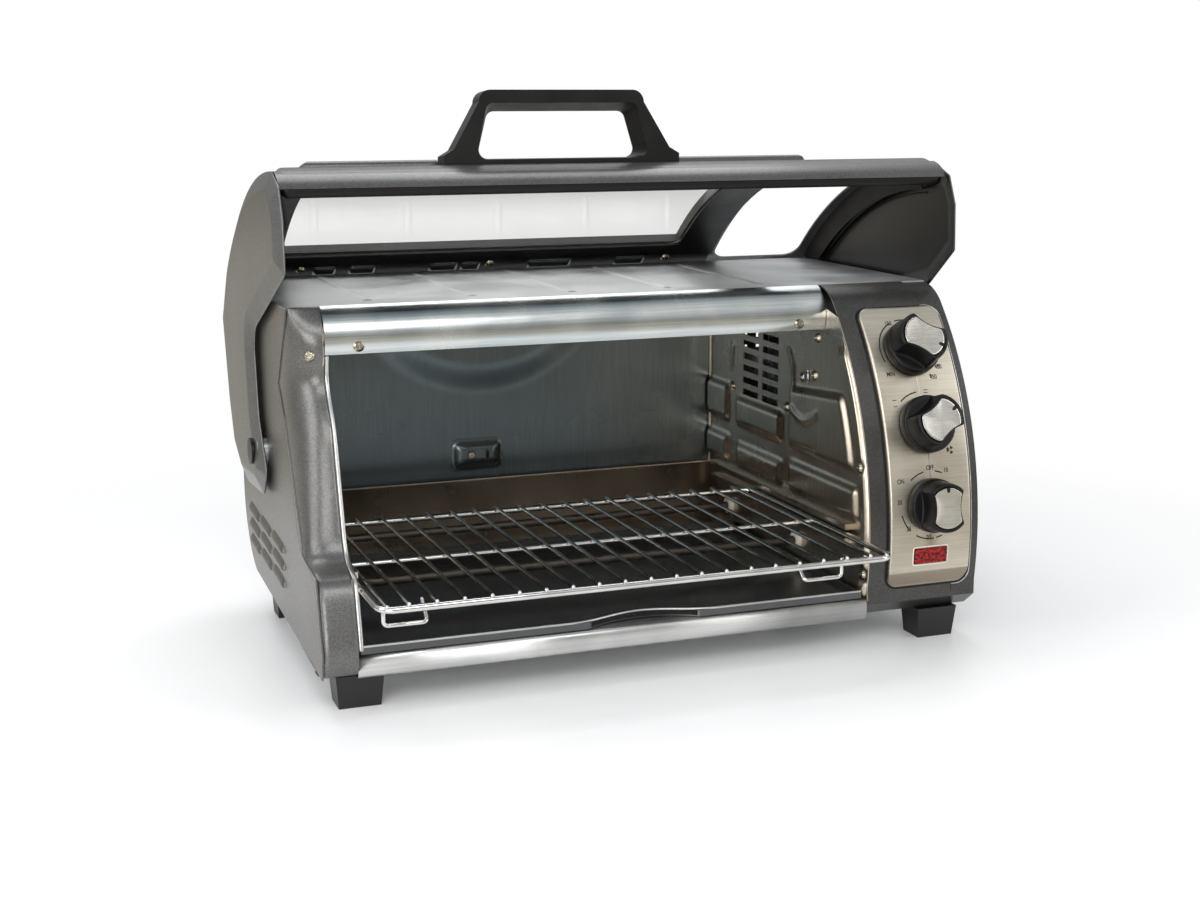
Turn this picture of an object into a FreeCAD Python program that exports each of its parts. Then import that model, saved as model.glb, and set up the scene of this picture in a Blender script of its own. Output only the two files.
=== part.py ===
import FreeCAD, Part
import Sketcher
import math
import os
import re

# A countertop convection toaster oven with a roll-top door, standing open.
# Millimetres. X runs to the right seen from the front, Y to the back and Z up.
# Every sketch counts Y from the front faces of the front feet. The door is drawn closed and
# placed open, and everything is placed back by frame_shift, so the frame's origin is on the
# floor under the middle of the whole.

SIZES = [
    ("frame_shift", 118.93, "front feet to the middle of the whole, along Y"),
    ("body_half", 232.5, "centre plane to the outer face of a side panel"),
    ("body_top", 244.0, "upper face of the top cover"),
    ("body_rear", 266.0, "outer face of the back panel"),
    ("floor_height", 21.5, "underside of the bottom panel above the counter"),
    ("panel_sheet", 1.0, "painted steel of the casing"),
    ("liner_sheet", 0.8, "aluminised steel of the cavity"),
    ("free_gap", 0.3, "space between faces that pass each other"),
    ("running_gap", 0.05, "radial space of a shaft in its bearing"),
    ("seam_y", 76.0, "front edge of the top cover"),
    ("heel_radius", 58.0, "rounding of the casing's lower back corner"),
    ("bow_y", 235.6, "centre of the control panel's curve"),
    ("bow_z", 71.3, "centre of the control panel's curve"),
    ("bow_radius", 244.2, "radius of the control panel's curve"),
    ("bow_low", -7.0, "angle where the curve starts at the bottom"),
    ("bow_high", 40.5, "angle where the curve ends at the top"),
    ("brow_radius", 36.0, "rounding between the curve and the top"),
    ("cavity_left", 210.0, "centre plane to the liner's left inner face"),
    ("cavity_right", 146.0, "centre plane to the liner's right inner face"),
    ("cavity_nape", 80.0, "height where the liner's back turns to its floor"),
    ("cavity_heel", 214.0, "rear edge of the liner's floor"),
    ("cavity_rear", 258.0, "liner's back inner face"),
    ("cavity_roof", 231.0, "liner's ceiling, lower face"),
    ("cavity_base", 35.6, "liner's floor, upper face"),
    ("frame_edge", 213.0, "joint between control frame and side flange"),
    ("frame_step", 1.0, "side flange set back from the control frame"),
    ("pillar_sheet", 1.2, "sheet of the left pillar"),
    ("header_bulge", 22.0, "radius of the header bar's front"),
    ("header_sheet", 1.0, "sheet of the header bar"),
    ("header_return", 14.0, "depth of the header bar's lower flange"),
    ("sill_front", -8.0, "front face of the sill bar"),
    ("sill_top", 36.0, "upper face of the sill bar"),
    ("sill_depth", 15.0, "depth of the sill bar"),
    ("plate_left", 162.5, "left edge of the control plate"),
    ("plate_right", 223.0, "right edge of the control plate"),
    ("plate_low", -6.5, "angle of the control plate's lower edge"),
    ("plate_high", 39.6, "angle of the control plate's upper edge"),
    ("plate_rise", 3.2, "plate's face in front of the control frame"),
    ("plate_sheet", 1.0, "brushed sheet of the control plate"),
    ("plate_corner", 6.0, "corner radius of the control plate"),
    ("control_x", 192.5, "centre line of the knobs"),
    ("temperature_angle", 32.0, "place of the temperature knob on the curve"),
    ("function_angle", 19.3, "place of the function knob on the curve"),
    ("timer_angle", 6.5, "place of the timer knob on the curve"),
    ("lamp_angle", -1.7, "place of the pilot lens on the curve"),
    ("temperature_turn", 122.0, "pointer at rest, clockwise from the top"),
    ("function_turn", 57.0, "pointer at rest, clockwise from the top"),
    ("timer_turn", 0.0, "pointer at rest, clockwise from the top"),
    ("knob_radius", 20.0, "round skirt of a knob"),
    ("knob_skirt", 8.0, "height of the skirt"),
    ("knob_height", 22.0, "whole height of a knob"),
    ("grip_radius", 18.0, "ends of the grip"),
    ("grip_half", 13.0, "half width of the grip at its ends"),
    ("grip_waist", 30.0, "radius of the grip's hollow sides"),
    ("inlay_inset", 1.6, "grip's edge around the metal inlay"),
    ("inlay_height", 0.8, "metal inlay above the grip"),
    ("shaft_radius", 3.0, "control shafts"),
    ("shaft_length", 30.0, "control shafts, from the knob back"),
    ("control_width", 38.0, "body of a control behind the panel"),
    ("control_height", 34.0, "body of a control along the panel"),
    ("control_depth", 22.0, "body of a control, front to back"),
    ("timer_radius", 22.0, "round clockwork of the timer"),
    ("bell_radius", 17.0, "timer's bell"),
    ("lens_width", 26.0, "pilot lens"),
    ("lens_height", 11.5, "pilot lens"),
    ("lens_rise", 1.6, "pilot lens in front of the plate"),
    ("floor_front", 28.0, "end of the bottom panel's level front"),
    ("floor_rear", 204.0, "start of the bottom panel's level rear"),
    ("floor_rise", 11.3, "bottom panel's rear above its front"),
    ("foot_width", 31.0, "foot, side to side"),
    ("foot_depth", 24.0, "foot, front to back, at its top"),
    ("foot_taper", 2.0, "foot's slope to its sole, each side"),
    ("foot_inner", 191.5, "centre plane to a foot's inner face"),
    ("foot_rear", 229.0, "rear faces of the rear feet"),
    ("rack_bar_radius", 2.3, "front and rear wires of the rack"),
    ("rack_wire_radius", 1.4, "thin wires of the rack"),
    ("rack_left", 204.6, "centre plane to the left rail of the rack"),
    ("rack_right", 140.4, "centre plane to the right rail of the rack"),
    ("rack_front_home", 30.0, "rack's front wire with the door closed"),
    ("rack_depth", 214.0, "front wire to rear wire"),
    ("rack_level", 77.0, "centre of the front wire above the counter"),
    ("ledge_end", 18.0, "rear end of the ledges before the back wall"),
    ("head_gap", 0.03, "a screw's head off a curved sheet"),
    ("rack_travel", 80.0, "how far the door draws the rack out"),
    ("rack_wires", 19, "thin wires from front to back"),
    ("hook_drop", 10.5, "loop under the rack's front wire"),
    ("hook_width", 27.0, "loop under the rack's front wire"),
    ("ledge_height", 4.0, "pressed ledge that carries the rack"),
    ("ledge_reach", 6.6, "ledge's reach into the cavity"),
    ("tray_front", -5.0, "crumb tray's front edge"),
    ("tray_rear_gap", 1.5, "tray's rear edge to the liner's lower corner"),
    ("tray_rim", 4.4, "crumb tray's raised rim"),
    ("tray_sheet", 0.8, "crumb tray's sheet"),
    ("tray_side_gap", 3.0, "tray's edges to the liner's walls"),
    ("notch_half", 39.0, "half width of the tray's finger notch"),
    ("notch_x", -17.0, "centre of the finger notch"),
    ("notch_depth", 12.0, "finger notch, front to back"),
    ("pivot_y", 165.0, "door's axis"),
    ("pivot_z", 135.0, "door's axis"),
    ("swing", 84.0, "door's turn from closed to open"),
    ("skin_y", 239.9, "centre of the door's curve, closed"),
    ("skin_z", 32.5, "centre of the door's curve, closed"),
    ("skin_radius", 279.6, "radius of the door's curve"),
    ("skin_sheet", 1.4, "painted steel of the door"),
    ("skin_low", 7.0, "angle where the curve meets the lip"),
    ("skin_high", 53.2, "angle of the door's rear edge"),
    ("hinge_space", 3.5, "side panel to the door's arm"),
    ("lip_radius", 24.0, "rounding of the lip"),
    ("window_left", 205.0, "centre plane to the window's left edge"),
    ("window_right", 116.0, "centre plane to the window's right edge"),
    ("window_low", 14.0, "angle of the window's front edge"),
    ("window_high", 46.7, "angle of the window's rear edge"),
    ("window_corner", 12.0, "corner radius of the window"),
    ("port_left", 150.0, "left edge of the door's opening for the knobs"),
    ("port_right", 226.0, "right edge of the door's opening for the knobs"),
    ("port_low", 9.5, "angle of that opening's front edge"),
    ("port_high", 51.2, "angle of that opening's rear edge"),
    ("glass_thickness", 3.2, "tempered glass of the window"),
    ("glass_lap", 7.0, "glass beyond the window's edges"),
    ("inner_sheet", 1.2, "black inner frame of the door"),
    ("inner_flange", 20.0, "depth of the inner frame's side flange"),
    ("flange_gap", 1.0, "inner frame's side flange to the arm"),
    ("bezel_left", 211.0, "centre plane to the window bezel's left edge"),
    ("bezel_right", 148.0, "centre plane to the window bezel's right edge"),
    ("bezel_low", 13.0, "angle of the bezel's front edge"),
    ("bezel_high", 48.2, "angle of the bezel's rear edge"),
    ("bezel_rise", 7.0, "bezel's height on the door's skin"),
    ("bezel_round", 4.0, "rounding of the bezel's outer edge"),
    ("bezel_inset", 3.0, "bezel's opening inside the window's edges"),
    ("handle_x", -40.0, "middle of the handle"),
    ("handle_angle", 10.6, "place of the handle on the door's curve"),
    ("handle_foot", 83.0, "half width of the handle at the door"),
    ("handle_ankle", 76.0, "half width of the handle above its foot"),
    ("foot_step", 8.0, "height of the handle's foot"),
    ("handle_head", 58.0, "half width of the handle at its top"),
    ("handle_height", 50.3, "height of the handle"),
    ("handle_depth", 15.0, "handle, front to back"),
    ("handle_grip", 8.5, "thickness of the handle's top, in front"),
    ("handle_base", 5.2, "thickness of the handle's lower strip"),
    ("handle_slot_low", 61.0, "half width of the finger opening, lower, in front"),
    ("handle_slot_high", 52.5, "half width of the finger opening, upper, in front"),
    ("arm_depth", 5.6, "an arm's outer face from its rim"),
    ("arm_bevel", 13.0, "sloped border of an arm"),
    ("arm_wall", 1.6, "sheet of an arm"),
    ("boss_radius", 12.0, "arm's boss around the pin"),
    ("pin_radius", 4.0, "hinge pin"),
    ("pin_reach", 10.5, "pin's inner end behind the side panel's face"),
    ("bush_radius", 11.0, "bright bush between arm and casing"),
    ("cap_radius", 9.0, "cap on the arm over the pin"),
    ("cap_height", 1.8, "cap on the arm over the pin"),
    ("clip_sheet", 1.2, "clip on the pin's inner end"),
    ("bracket_size", 44.0, "plate behind the side panel at the pin"),
    ("bracket_sheet", 2.5, "plate behind the side panel at the pin"),
    ("fan_y", 165.0, "fan's axis"),
    ("fan_z", 170.0, "fan's axis"),
    ("fan_radius", 31.0, "fan wheel"),
    ("fan_width", 14.0, "fan wheel along its axis"),
    ("fan_face", 152.0, "centre plane to the fan wheel's near side"),
    ("fan_shaft_radius", 2.5, "motor shaft"),
    ("motor_face", 178.0, "centre plane to the motor's near side"),
    ("motor_length", 34.0, "motor along its axis"),
    ("motor_radius", 22.0, "motor"),
    ("element_radius", 3.2, "heating elements"),
    ("element_left", 190.0, "centre plane to the elements' left bend"),
    ("element_upper", 221.0, "centre of the upper element"),
    ("element_lower", 53.0, "centre of the lower element"),
    ("element_front", 96.0, "front leg of the elements"),
    ("element_back", 214.0, "rear leg of the elements"),
    ("element_bend", 18.0, "bend radius of the elements"),
    ("insulator_radius", 6.0, "ceramic collars of the elements"),
    ("insulator_length", 12.0, "ceramic collars of the elements"),
    ("screw_head", 3.6, "radius of a screw's head"),
    ("screw_rise", 2.2, "height of a screw's head"),
    ("screw_shank", 1.6, "radius of a screw's shank"),
    ("screw_length", 5.0, "length of a screw's shank"),
    ("rib_width", 7.0, "embossed rib of the top cover"),
    ("rib_rise", 1.0, "embossed rib of the top cover"),
    ("rib_front", 95.0, "front end of the ribs"),
    ("rib_rear", 250.0, "rear end of the ribs"),
    ("rib_first", -174.0, "first rib of the top cover"),
    ("rib_pitch", 71.0, "from rib to rib"),
    ("back_vent_x", 160.0, "left edge of the back vents"),
    ("back_vent_z", 150.0, "lower edge of the back vents"),
    ("gland_x", 200.0, "collar for the mains lead in the back"),
    ("gland_z", 112.0, "collar for the mains lead in the back"),
    ("gland_radius", 7.0, "collar for the mains lead in the back"),
    ("gland_bore", 3.8, "hole for the mains lead"),
    ("ledge_front", 14.0, "front end of the ledges"),
    ("vent_y", 134.5, "front edge of the cavity's vents"),
    ("vent_z", 146.0, "lower edge of the cavity's vents"),
    ("vent_long", 27.0, "slot of the cavity's vents"),
    ("vent_tall", 5.0, "slot of the cavity's vents"),
    ("vent_across", 34.0, "from column to column of the vents"),
    ("vent_up", 9.5, "from slot to slot of the vents"),
    ("field_x", -48.0, "centre of the round field in the back wall"),
    ("field_z", 265.0, "centre of the round field in the back wall"),
    ("field_radius", 104.0, "round field in the back wall"),
    ("field_rise", 2.0, "round field in front of the back wall"),
    ("arm_rear_angle", 48.0, "angle where the arm leaves the door's curve"),
    ("arm_rim", 2.4, "width of the arm's edge"),
    ("frame_low", 12.2, "angle of the inner frame's front edge"),
    ("frame_high", 52.9, "angle of the inner frame's rear edge"),
    ("header_front_y", 62.6, "screws on the header bar"),
    ("header_front_z", 219.0, "screws on the header bar"),
    ("pillar_screw_y", 77.8, "screw on the left pillar"),
    ("pillar_screw_z", 217.0, "screw on the left pillar"),
    ("frame_jog", 48.4, "angle where the inner frame steps up to the skin"),
    ("strip_screw_angle", 50.0, "screws along the inner frame's rear edge"),
    ("strip_screw_x", -39.0, "middle one of the strip's screws"),
    ("strip_screw_pitch", 146.0, "from screw to screw on the strip"),
    ("strip_screw_length", 2.4, "shank of the strip's screws"),
    ("louvre_y", 107.0, "front edge of the side vents"),
    ("louvre_z", 52.0, "lower edge of the side vents"),
    ("louvre_long", 39.0, "slot of the side vents"),
    ("louvre_tall", 3.2, "slot of the side vents"),
    ("louvre_slant", 2.0, "rise of a side slot towards the back"),
    ("louvre_up", 12.0, "from row to row of the side vents"),
    ("louvre_across", 46.0, "from column to column of the side vents"),
    ("back_vent_long", 22.0, "slot of the back vents"),
    ("back_vent_tall", 4.0, "slot of the back vents"),
    ("back_vent_up", 10.0, "from row to row of the back vents"),
    ("back_vent_across", 30.0, "from column to column of the back vents"),
    ("back_screw_inset", 22.0, "outer back screws, from the sides"),
    ("back_screw_x", 60.0, "inner back screws, from the centre plane"),
    ("back_screw_top", 12.0, "upper back screws below the top"),
    ("back_screw_low", 8.0, "lower back screws above the rounding"),
    ("gland_lip", 2.5, "collar's rim around its neck"),
    ("gland_rise", 4.0, "collar's rim behind the back panel"),
    ("gland_neck", 5.0, "collar's neck inside the back panel"),
    ("floor_vent_x", -150.0, "left edge of the vents in the bottom"),
    ("floor_vent_y", 60.0, "front edge of the vents in the bottom"),
    ("floor_vent_long", 40.0, "slot of the bottom's vents"),
    ("floor_vent_wide", 4.0, "slot of the bottom's vents"),
    ("floor_vent_back", 16.0, "from slot to slot of the bottom's vents"),
    ("floor_vent_across", 62.0, "from column to column of the bottom's vents"),
    ("header_dip", 1.5, "fall of the header's lower flange"),
    ("latch_left", -67.5, "small plate on the back wall"),
    ("latch_right", -38.5, "small plate on the back wall"),
    ("latch_low", 95.0, "small plate on the back wall"),
    ("latch_high", 107.0, "small plate on the back wall"),
    ("latch_rise", 2.5, "small plate on the back wall"),
    ("element_tail", 12.0, "elements behind the right wall"),
    ("knob_cap", 7.0, "solid top of a knob over its shaft"),
    ("hole_wall", 4.0, "bearing wall around a shaft"),
    ("case_gap", 2.2, "working part behind the panel's face"),
    ("bell_depth", 8.8, "timer's bell"),
    ("bell_sheet", 1.0, "timer's bell"),
    ("striker_radius", 2.0, "pin that carries the bell"),
    ("striker_place", 9.0, "pin that carries the bell, off the shaft"),
    ("lamp_radius", 3.0, "glow lamp behind the lens"),
    ("lamp_length", 22.0, "glow lamp behind the lens"),
    ("block_x", 168.0, "terminal block's left end"),
    ("block_back", 2.0, "terminal block from the bottom's rear edge"),
    ("block_long", 40.0, "terminal block"),
    ("block_deep", 14.0, "terminal block"),
    ("block_tall", 14.0, "terminal block"),
    ("block_slot", 6.0, "wire channel of the terminal block"),
    ("block_pitch", 9.0, "from channel to channel"),
    ("fan_sheet", 1.0, "fan wheel's disc and blades"),
    ("fan_hub", 4.0, "fan wheel's hub around the shaft"),
    ("strap_sheet", 1.5, "strap that carries the motor"),
    ("strap_half", 12.0, "half width of the strap"),
    ("strap_reach", 6.0, "strap beyond the fan wheel"),
    ("hook_left", 2.5, "left loop from the left rail"),
    ("hook_right", 36.0, "right loop from the right rail"),
    ("hook_back", 4.0, "rack's loops behind the front wire"),
    ("hook_hold", 24.0, "length that ties a loop to the wires"),
    ("hook_hold_up", 1.3, "that length above the rack's level"),
    ("hook_radius", 1.3, "wire of the loops"),
    ("hook_lean", 50.0, "backward lean of a loop's far leg"),
    ("tray_edge", 1.0, "thickness of the tray's rim"),
    ("handle_corner", 8.0, "rounded upper corners of the handle"),
    ("handle_taper", 4.5, "finger opening's taper from front to back, each side"),
    ("handle_slot_corner", 6.0, "rounded corners of the finger opening"),
    ("handle_screw_inset", 14.0, "screws from the handle's ends"),
    ("plate_fold", 2.0, "width of the plate's folded edges"),
    ("plate_hem", 1.5, "angle taken by the plate's upper and lower folds"),
    ("header_screw_left", -188.0, "screw on the header bar"),
    ("header_screw_right", 125.0, "screw on the header bar"),
    ("header_screw_tilt", 10.0, "tilt of the header's screws"),
    ("pillar_screw_x", -220.0, "screw on the left pillar"),
    ("pillar_screw_tilt", 20.0, "tilt of the pillar's screw"),
    ("screw_edge", 0.8, "straight edge of a screw's head"),
    ("screw_dome", 1.2, "sloped border of a screw's head"),
    ("cross_half", 2.2, "half length of the recess in a screw's head"),
    ("cross_slot", 0.4, "half width of that recess"),
    ("cross_depth", 1.1, "depth of that recess"),
    ("clip_width", 3.0, "clip around the pin"),
    ("clip_place", 2.0, "clip from the pin's inner end"),
]

# Corners of the outlines, each a place (Y, Z).
CORNERS = [
    ("side_toe", -8.0, 23.5),
    ("side_belly", 27.0, 25.5),
    ("side_heel", 223.0, 34.0),
    ("side_nape", 266.0, 90.0),
    ("frame_chin", -6.0, 31.0),
    ("frame_toe", 6.0, 21.5),
    ("fold_top", 72.0, 244.0),
    ("fold_crown", 79.0, 230.0),
    ("fold_brow", 92.0, 212.0),
    ("fold_nape", 106.0, 191.0),
    ("fold_cheek", 89.0, 171.0),
    ("fold_waist", 43.0, 90.0),
    ("fold_step", 3.0, 86.0),
    ("fold_shin", -11.0, 40.0),
    ("jamb_top", 76.0, 244.0),
    ("jamb_crown", 63.0, 230.0),
    ("jamb_brow", 64.0, 213.0),
    ("jamb_nape", 70.0, 197.0),
    ("jamb_cheek", 50.0, 170.0),
    ("jamb_waist", 26.0, 90.0),
    ("jamb_step", 0.0, 84.0),
    ("jamb_shin", -11.0, 40.0),
    ("header_low", 64.0, 214.0),
    ("lip_low", -29.3, 47.6),
    ("lip_tail", -28.7, 53.6),
    ("lip_nook", -30.3, 50.7),
    ("arm_toe", -31.0, 44.0),
    ("arm_crown", 97.0, 268.0),
    ("arm_back", 160.0, 242.0),
    ("arm_shoulder", 190.0, 222.0),
    ("arm_elbow", 203.0, 186.0),
    ("arm_heel", 192.0, 118.0),
    ("arm_root", 172.0, 106.0),
    ("arm_notch", 140.0, 134.0),
    ("arm_nook", 84.0, 149.0),
    ("arm_bulge", 51.0, 58.0),
    ("arm_shin", 20.0, 28.0),
    ("arm_sole", -12.0, 33.0),
]

# Screws of the right wall: how far inside the control panel's curve, and at which angle.
WALL_SCREWS = [
    ("wall_screw_a", 69.5, 36.4),
    ("wall_screw_b", 51.7, 34.0),
    ("wall_screw_c", 104.1, 33.7),
    ("wall_screw_d", 162.6, 74.7),
    ("wall_screw_e", 32.5, 39.7),
    ("wall_screw_f", 8.8, 13.3),
    ("wall_screw_g", 6.0, -4.6),
]

# Sizes that follow from the others.
DERIVED = {
    "skin_half": "(body_half + hinge_space)",
    "arm_face": "(body_half + hinge_space + arm_depth)",
    "flange_face": "(body_half + hinge_space - flange_gap)",
    "pin_inner": "(body_half - pin_reach)",
    "floor_under": "(floor_height + floor_rise)",
}

doc = FreeCAD.newDocument("convection_toaster_oven")
sheet = doc.addObject("Spreadsheet::Sheet", "sizes")
aliases = set()
parts = {}


def enter_size(name, number, meaning):
    """One row of the sheet: the name, the number and what it is."""
    row = len(aliases) + 1
    sheet.set("A%d" % row, name)
    sheet.set("B%d" % row, str(number))
    sheet.set("C%d" % row, meaning)
    sheet.setAlias("B%d" % row, name)
    aliases.add(name)


for size_name, size_number, size_meaning in SIZES:
    enter_size(size_name, size_number, size_meaning)
for corner_name, corner_y, corner_z in CORNERS:
    enter_size(corner_name + "_y", corner_y, "outline corner, along Y")
    enter_size(corner_name + "_z", corner_z, "outline corner, along Z")
for screw_name, screw_inset, screw_angle in WALL_SCREWS:
    enter_size(screw_name + "_inset", screw_inset, "screw inside the curve")
    enter_size(screw_name + "_angle", screw_angle, "screw's angle on the curve")
doc.recompute()


def bound(text):
    """The same expression with every size's name pointing into the sheet."""

    def pointed(word):
        name = word.group(0)
        if name in DERIVED:
            return bound(DERIVED[name])
        return "sizes." + name if name in aliases else name

    return re.sub(r"[a-z_]+[a-z0-9_]*", pointed, text)


def value(text):
    return float(sheet.evalExpression(bound(text)))


def corner(name):
    return (name + "_y", name + "_z")


def moved(point, along_y, along_z):
    return ("(%s) + (%s)" % (point[0], along_y), "(%s) + (%s)" % (point[1], along_z))


def bow(offset, angle):
    """A point on the control panel's curve, offset outwards."""
    reach = "(bow_radius + (%s))" % offset
    return ("bow_y - %s * cos(%s)" % (reach, angle), "bow_z + %s * sin(%s)" % (reach, angle))


def skin(offset, angle):
    """A point on the door's curve, drawn closed, offset outwards."""
    reach = "(skin_radius + (%s))" % offset
    return ("skin_y - %s * cos(%s)" % (reach, angle), "skin_z + %s * sin(%s)" % (reach, angle))


def band(curve, radius, inner, outer, low, high):
    """The outline of a curved strip between two offsets and two angles."""
    return [
        curve(outer, low) + ("%s + (%s)" % (radius, outer), "right"),
        curve(outer, high),
        curve(inner, high) + ("%s + (%s)" % (radius, inner), "left"),
        curve(inner, low),
    ]


def skin_band(inner, outer, low, high):
    return band(skin, "skin_radius", inner, outer, low, high)


def bow_band(inner, outer, low, high):
    return band(bow, "bow_radius", inner, outer, low, high)


def rectangle(low_first, low_second, high_first, high_second):
    return [
        (low_first, low_second),
        (high_first, low_second),
        (high_first, high_second),
        (low_first, high_second),
    ]


def origin_plane(body, role):
    return [feature for feature in body.Origin.OriginFeatures if feature.Role == role][0]


def add_outline(sketch, loop):
    """Lines and arcs through the loop's corners, each corner bound to the sheet.

    A corner with a radius starts an arc to the next one, its centre left or right of the way.
    """
    points = [FreeCAD.Vector(value(place[0]), value(place[1]), 0) for place in loop]
    first = sketch.GeometryCount
    count = len(loop)
    starts = []
    for index, place in enumerate(loop):
        begin, end = points[index], points[(index + 1) % count]
        if len(place) == 2:
            sketch.addGeometry(Part.LineSegment(begin, end), False)
            starts.append(1)
            continue
        radius = value(place[2])
        chord = end - begin
        rise = math.sqrt(max(radius ** 2 - (chord.Length / 2) ** 2, 0))
        side = 1 if place[3] == "left" else -1
        across = FreeCAD.Vector(-chord.y, chord.x, 0).normalize()
        centre = (begin + end) * 0.5 + across * (side * rise)
        low, high = (begin, end) if side == 1 else (end, begin)
        start_angle = math.atan2(low.y - centre.y, low.x - centre.x)
        end_angle = math.atan2(high.y - centre.y, high.x - centre.x)
        if end_angle < start_angle:
            end_angle += 2 * math.pi
        circle = Part.Circle(centre, FreeCAD.Vector(0, 0, 1), radius)
        sketch.addGeometry(Part.ArcOfCircle(circle, start_angle, end_angle), False)
        starts.append(1 if side == 1 else 2)
    for index, place in enumerate(loop):
        following = (index + 1) % count
        here, there = first + index, first + following
        sketch.addConstraint(
            Sketcher.Constraint("Coincident", here, 3 - starts[index], there, starts[following])
        )
        for kind, coordinate, text in (
            ("DistanceX", points[index].x, place[0]),
            ("DistanceY", points[index].y, place[1]),
        ):
            made = sketch.addConstraint(
                Sketcher.Constraint(kind, here, starts[index], coordinate)
            )
            sketch.setExpression("Constraints[%d]" % made, bound(text))
        if len(place) > 2:
            made = sketch.addConstraint(Sketcher.Constraint("Radius", here, value(place[2])))
            sketch.setExpression("Constraints[%d]" % made, bound(place[2]))


def new_sketch(body, name, plane, loops, offset="0"):
    sketch = body.newObject("Sketcher::SketchObject", name)
    sketch.AttachmentSupport = [(origin_plane(body, plane), "")]
    sketch.MapMode = "FlatFace"
    sketch.setExpression("AttachmentOffset.Base.z", bound(offset))
    for loop in loops:
        add_outline(sketch, loop)
    return sketch


def new_circle(body, name, plane, first, second, radius, offset="0"):
    sketch = body.newObject("Sketcher::SketchObject", name)
    sketch.AttachmentSupport = [(origin_plane(body, plane), "")]
    sketch.MapMode = "FlatFace"
    sketch.setExpression("AttachmentOffset.Base.z", bound(offset))
    centre = FreeCAD.Vector(value(first), value(second), 0)
    sketch.addGeometry(Part.Circle(centre, FreeCAD.Vector(0, 0, 1), value(radius)), False)
    for kind, point, text in (
        ("DistanceX", 3, first),
        ("DistanceY", 3, second),
    ):
        made = sketch.addConstraint(Sketcher.Constraint(kind, 0, point, value(text)))
        sketch.setExpression("Constraints[%d]" % made, bound(text))
    made = sketch.addConstraint(Sketcher.Constraint("Radius", 0, value(radius)))
    sketch.setExpression("Constraints[%d]" % made, bound(radius))
    return sketch


def new_body(label):
    body = doc.addObject("PartDesign::Body", label)
    body.Label = label
    parts[label] = body
    return body


def new_master(label):
    """A piece that is drawn once, about its own middle, and copied into a node."""
    body = doc.addObject("PartDesign::Body", label)
    body.Label = label
    return body


def each(master, spots):
    return [(master, spot) for spot in spots]


def copies(label, pieces, where=None):
    """One node of several pieces, each a master at its own spot."""
    links = []
    for number, (master, spot) in enumerate(pieces, 1):
        link = doc.addObject("App::Link", "%s_%d" % (label, number))
        link.LinkedObject = master
        link.setExpression("Placement", bound((where or CASING) + " * " + located(spot)))
        links.append(link)
    group = doc.addObject("Part::Compound", label)
    group.Label = label
    group.Links = links
    parts[label] = group


def pad(body, loops, low, high, plane="YZ_Plane"):
    """A solid grown from an outline between two distances from the plane."""
    outline = new_sketch(body, body.Label + "_outline", plane, loops, low)
    feature = body.newObject("PartDesign::Pad", body.Label + "_pad")
    feature.Profile = outline
    feature.setExpression("Length", bound("(%s) - (%s)" % (high, low)))
    return feature


def pocket(body, loops, low, high, plane="YZ_Plane"):
    """Takes the outline's prism away between two distances from the plane."""
    outline = new_sketch(body, body.Label + "_opening", plane, loops, high)
    feature = body.newObject("PartDesign::Pocket", body.Label + "_pocket")
    feature.Profile = outline
    feature.setExpression("Length", bound("(%s) - (%s)" % (high, low)))
    return feature


def shifted(x, y, z):
    """A placement expression that only moves."""
    return "placement(vector(%s; %s; %s); rotation(vector(1; 0; 0); 0))" % (x, y, z)


def block(body, kind, low, high):
    """A box between two corners, each three sizes, added or taken away."""
    feature = body.newObject("PartDesign::%sBox" % kind, body.Label + "_block")
    for axis, length in enumerate(("Length", "Width", "Height")):
        feature.setExpression(length, bound("(%s) - (%s)" % (high[axis], low[axis])))
    feature.setExpression("Placement", bound(shifted(*low)))
    return feature


def turned(axis, angle):
    vector = {"x": "vector(1; 0; 0)", "y": "vector(0; 1; 0)", "z": "vector(0; 0; 1)"}[axis]
    return "rotation(%s; %s)" % (vector, angle)


FACING_UP = turned("x", "0")
FACING_FRONT = turned("x", "90")
FACING_BACK = turned("x", "-90")
FACING_LEFT = turned("y", "-90")
FACING_RIGHT = turned("y", "90")


def facing(angle):
    """Turns the local Z axis out of a curve at an angle above the front."""
    return turned("x", "90 - (%s)" % angle)


def located(spot):
    """A placement expression from (x, y, z, rotation)."""
    return "placement(vector(%s; %s; %s); %s)" % tuple(spot)


def repeated(body, feature, axis, count, length):
    """Equal copies of a feature in a row along one of the body's own axes."""
    row = body.newObject("PartDesign::LinearPattern", body.Label + "_row")
    row.Originals = [feature]
    row.Direction = (origin_plane(body, axis), [""])
    row.Occurrences = count
    row.setExpression("Length", bound(length))
    body.Tip = row
    return row


def rod(body, kind, spot, radius, length):
    feature = body.newObject("PartDesign::%sCylinder" % kind, body.Label + "_rod")
    feature.setExpression("Radius", bound(radius))
    feature.setExpression("Height", bound(length))
    feature.setExpression("Placement", bound(located(spot)))
    return feature


def drill(body, spots, radius="screw_shank", depth="screw_length"):
    """Round holes below each spot, along its local Z."""
    for spot in spots:
        x, y, z, rotation = spot
        feature = body.newObject("PartDesign::SubtractiveCylinder", body.Label + "_hole")
        feature.setExpression("Radius", bound(radius))
        feature.setExpression("Height", bound("2 * (%s)" % depth))
        down = shifted("0", "0", "-(%s)" % depth)
        feature.setExpression("Placement", bound(located(spot) + " * " + down))


def round_edges(body, radius, wanted):
    """Fillets the edges of the body's last feature that the test picks."""
    doc.recompute()
    tip = body.Tip
    names = []
    for index, edge in enumerate(tip.Shape.Edges, 1):
        if wanted(edge):
            names.append("Edge%d" % index)
    feature = body.newObject("PartDesign::Fillet", body.Label + "_fillet")
    feature.Base = (tip, names)
    feature.setExpression("Radius", bound(radius))
    return feature


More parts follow.
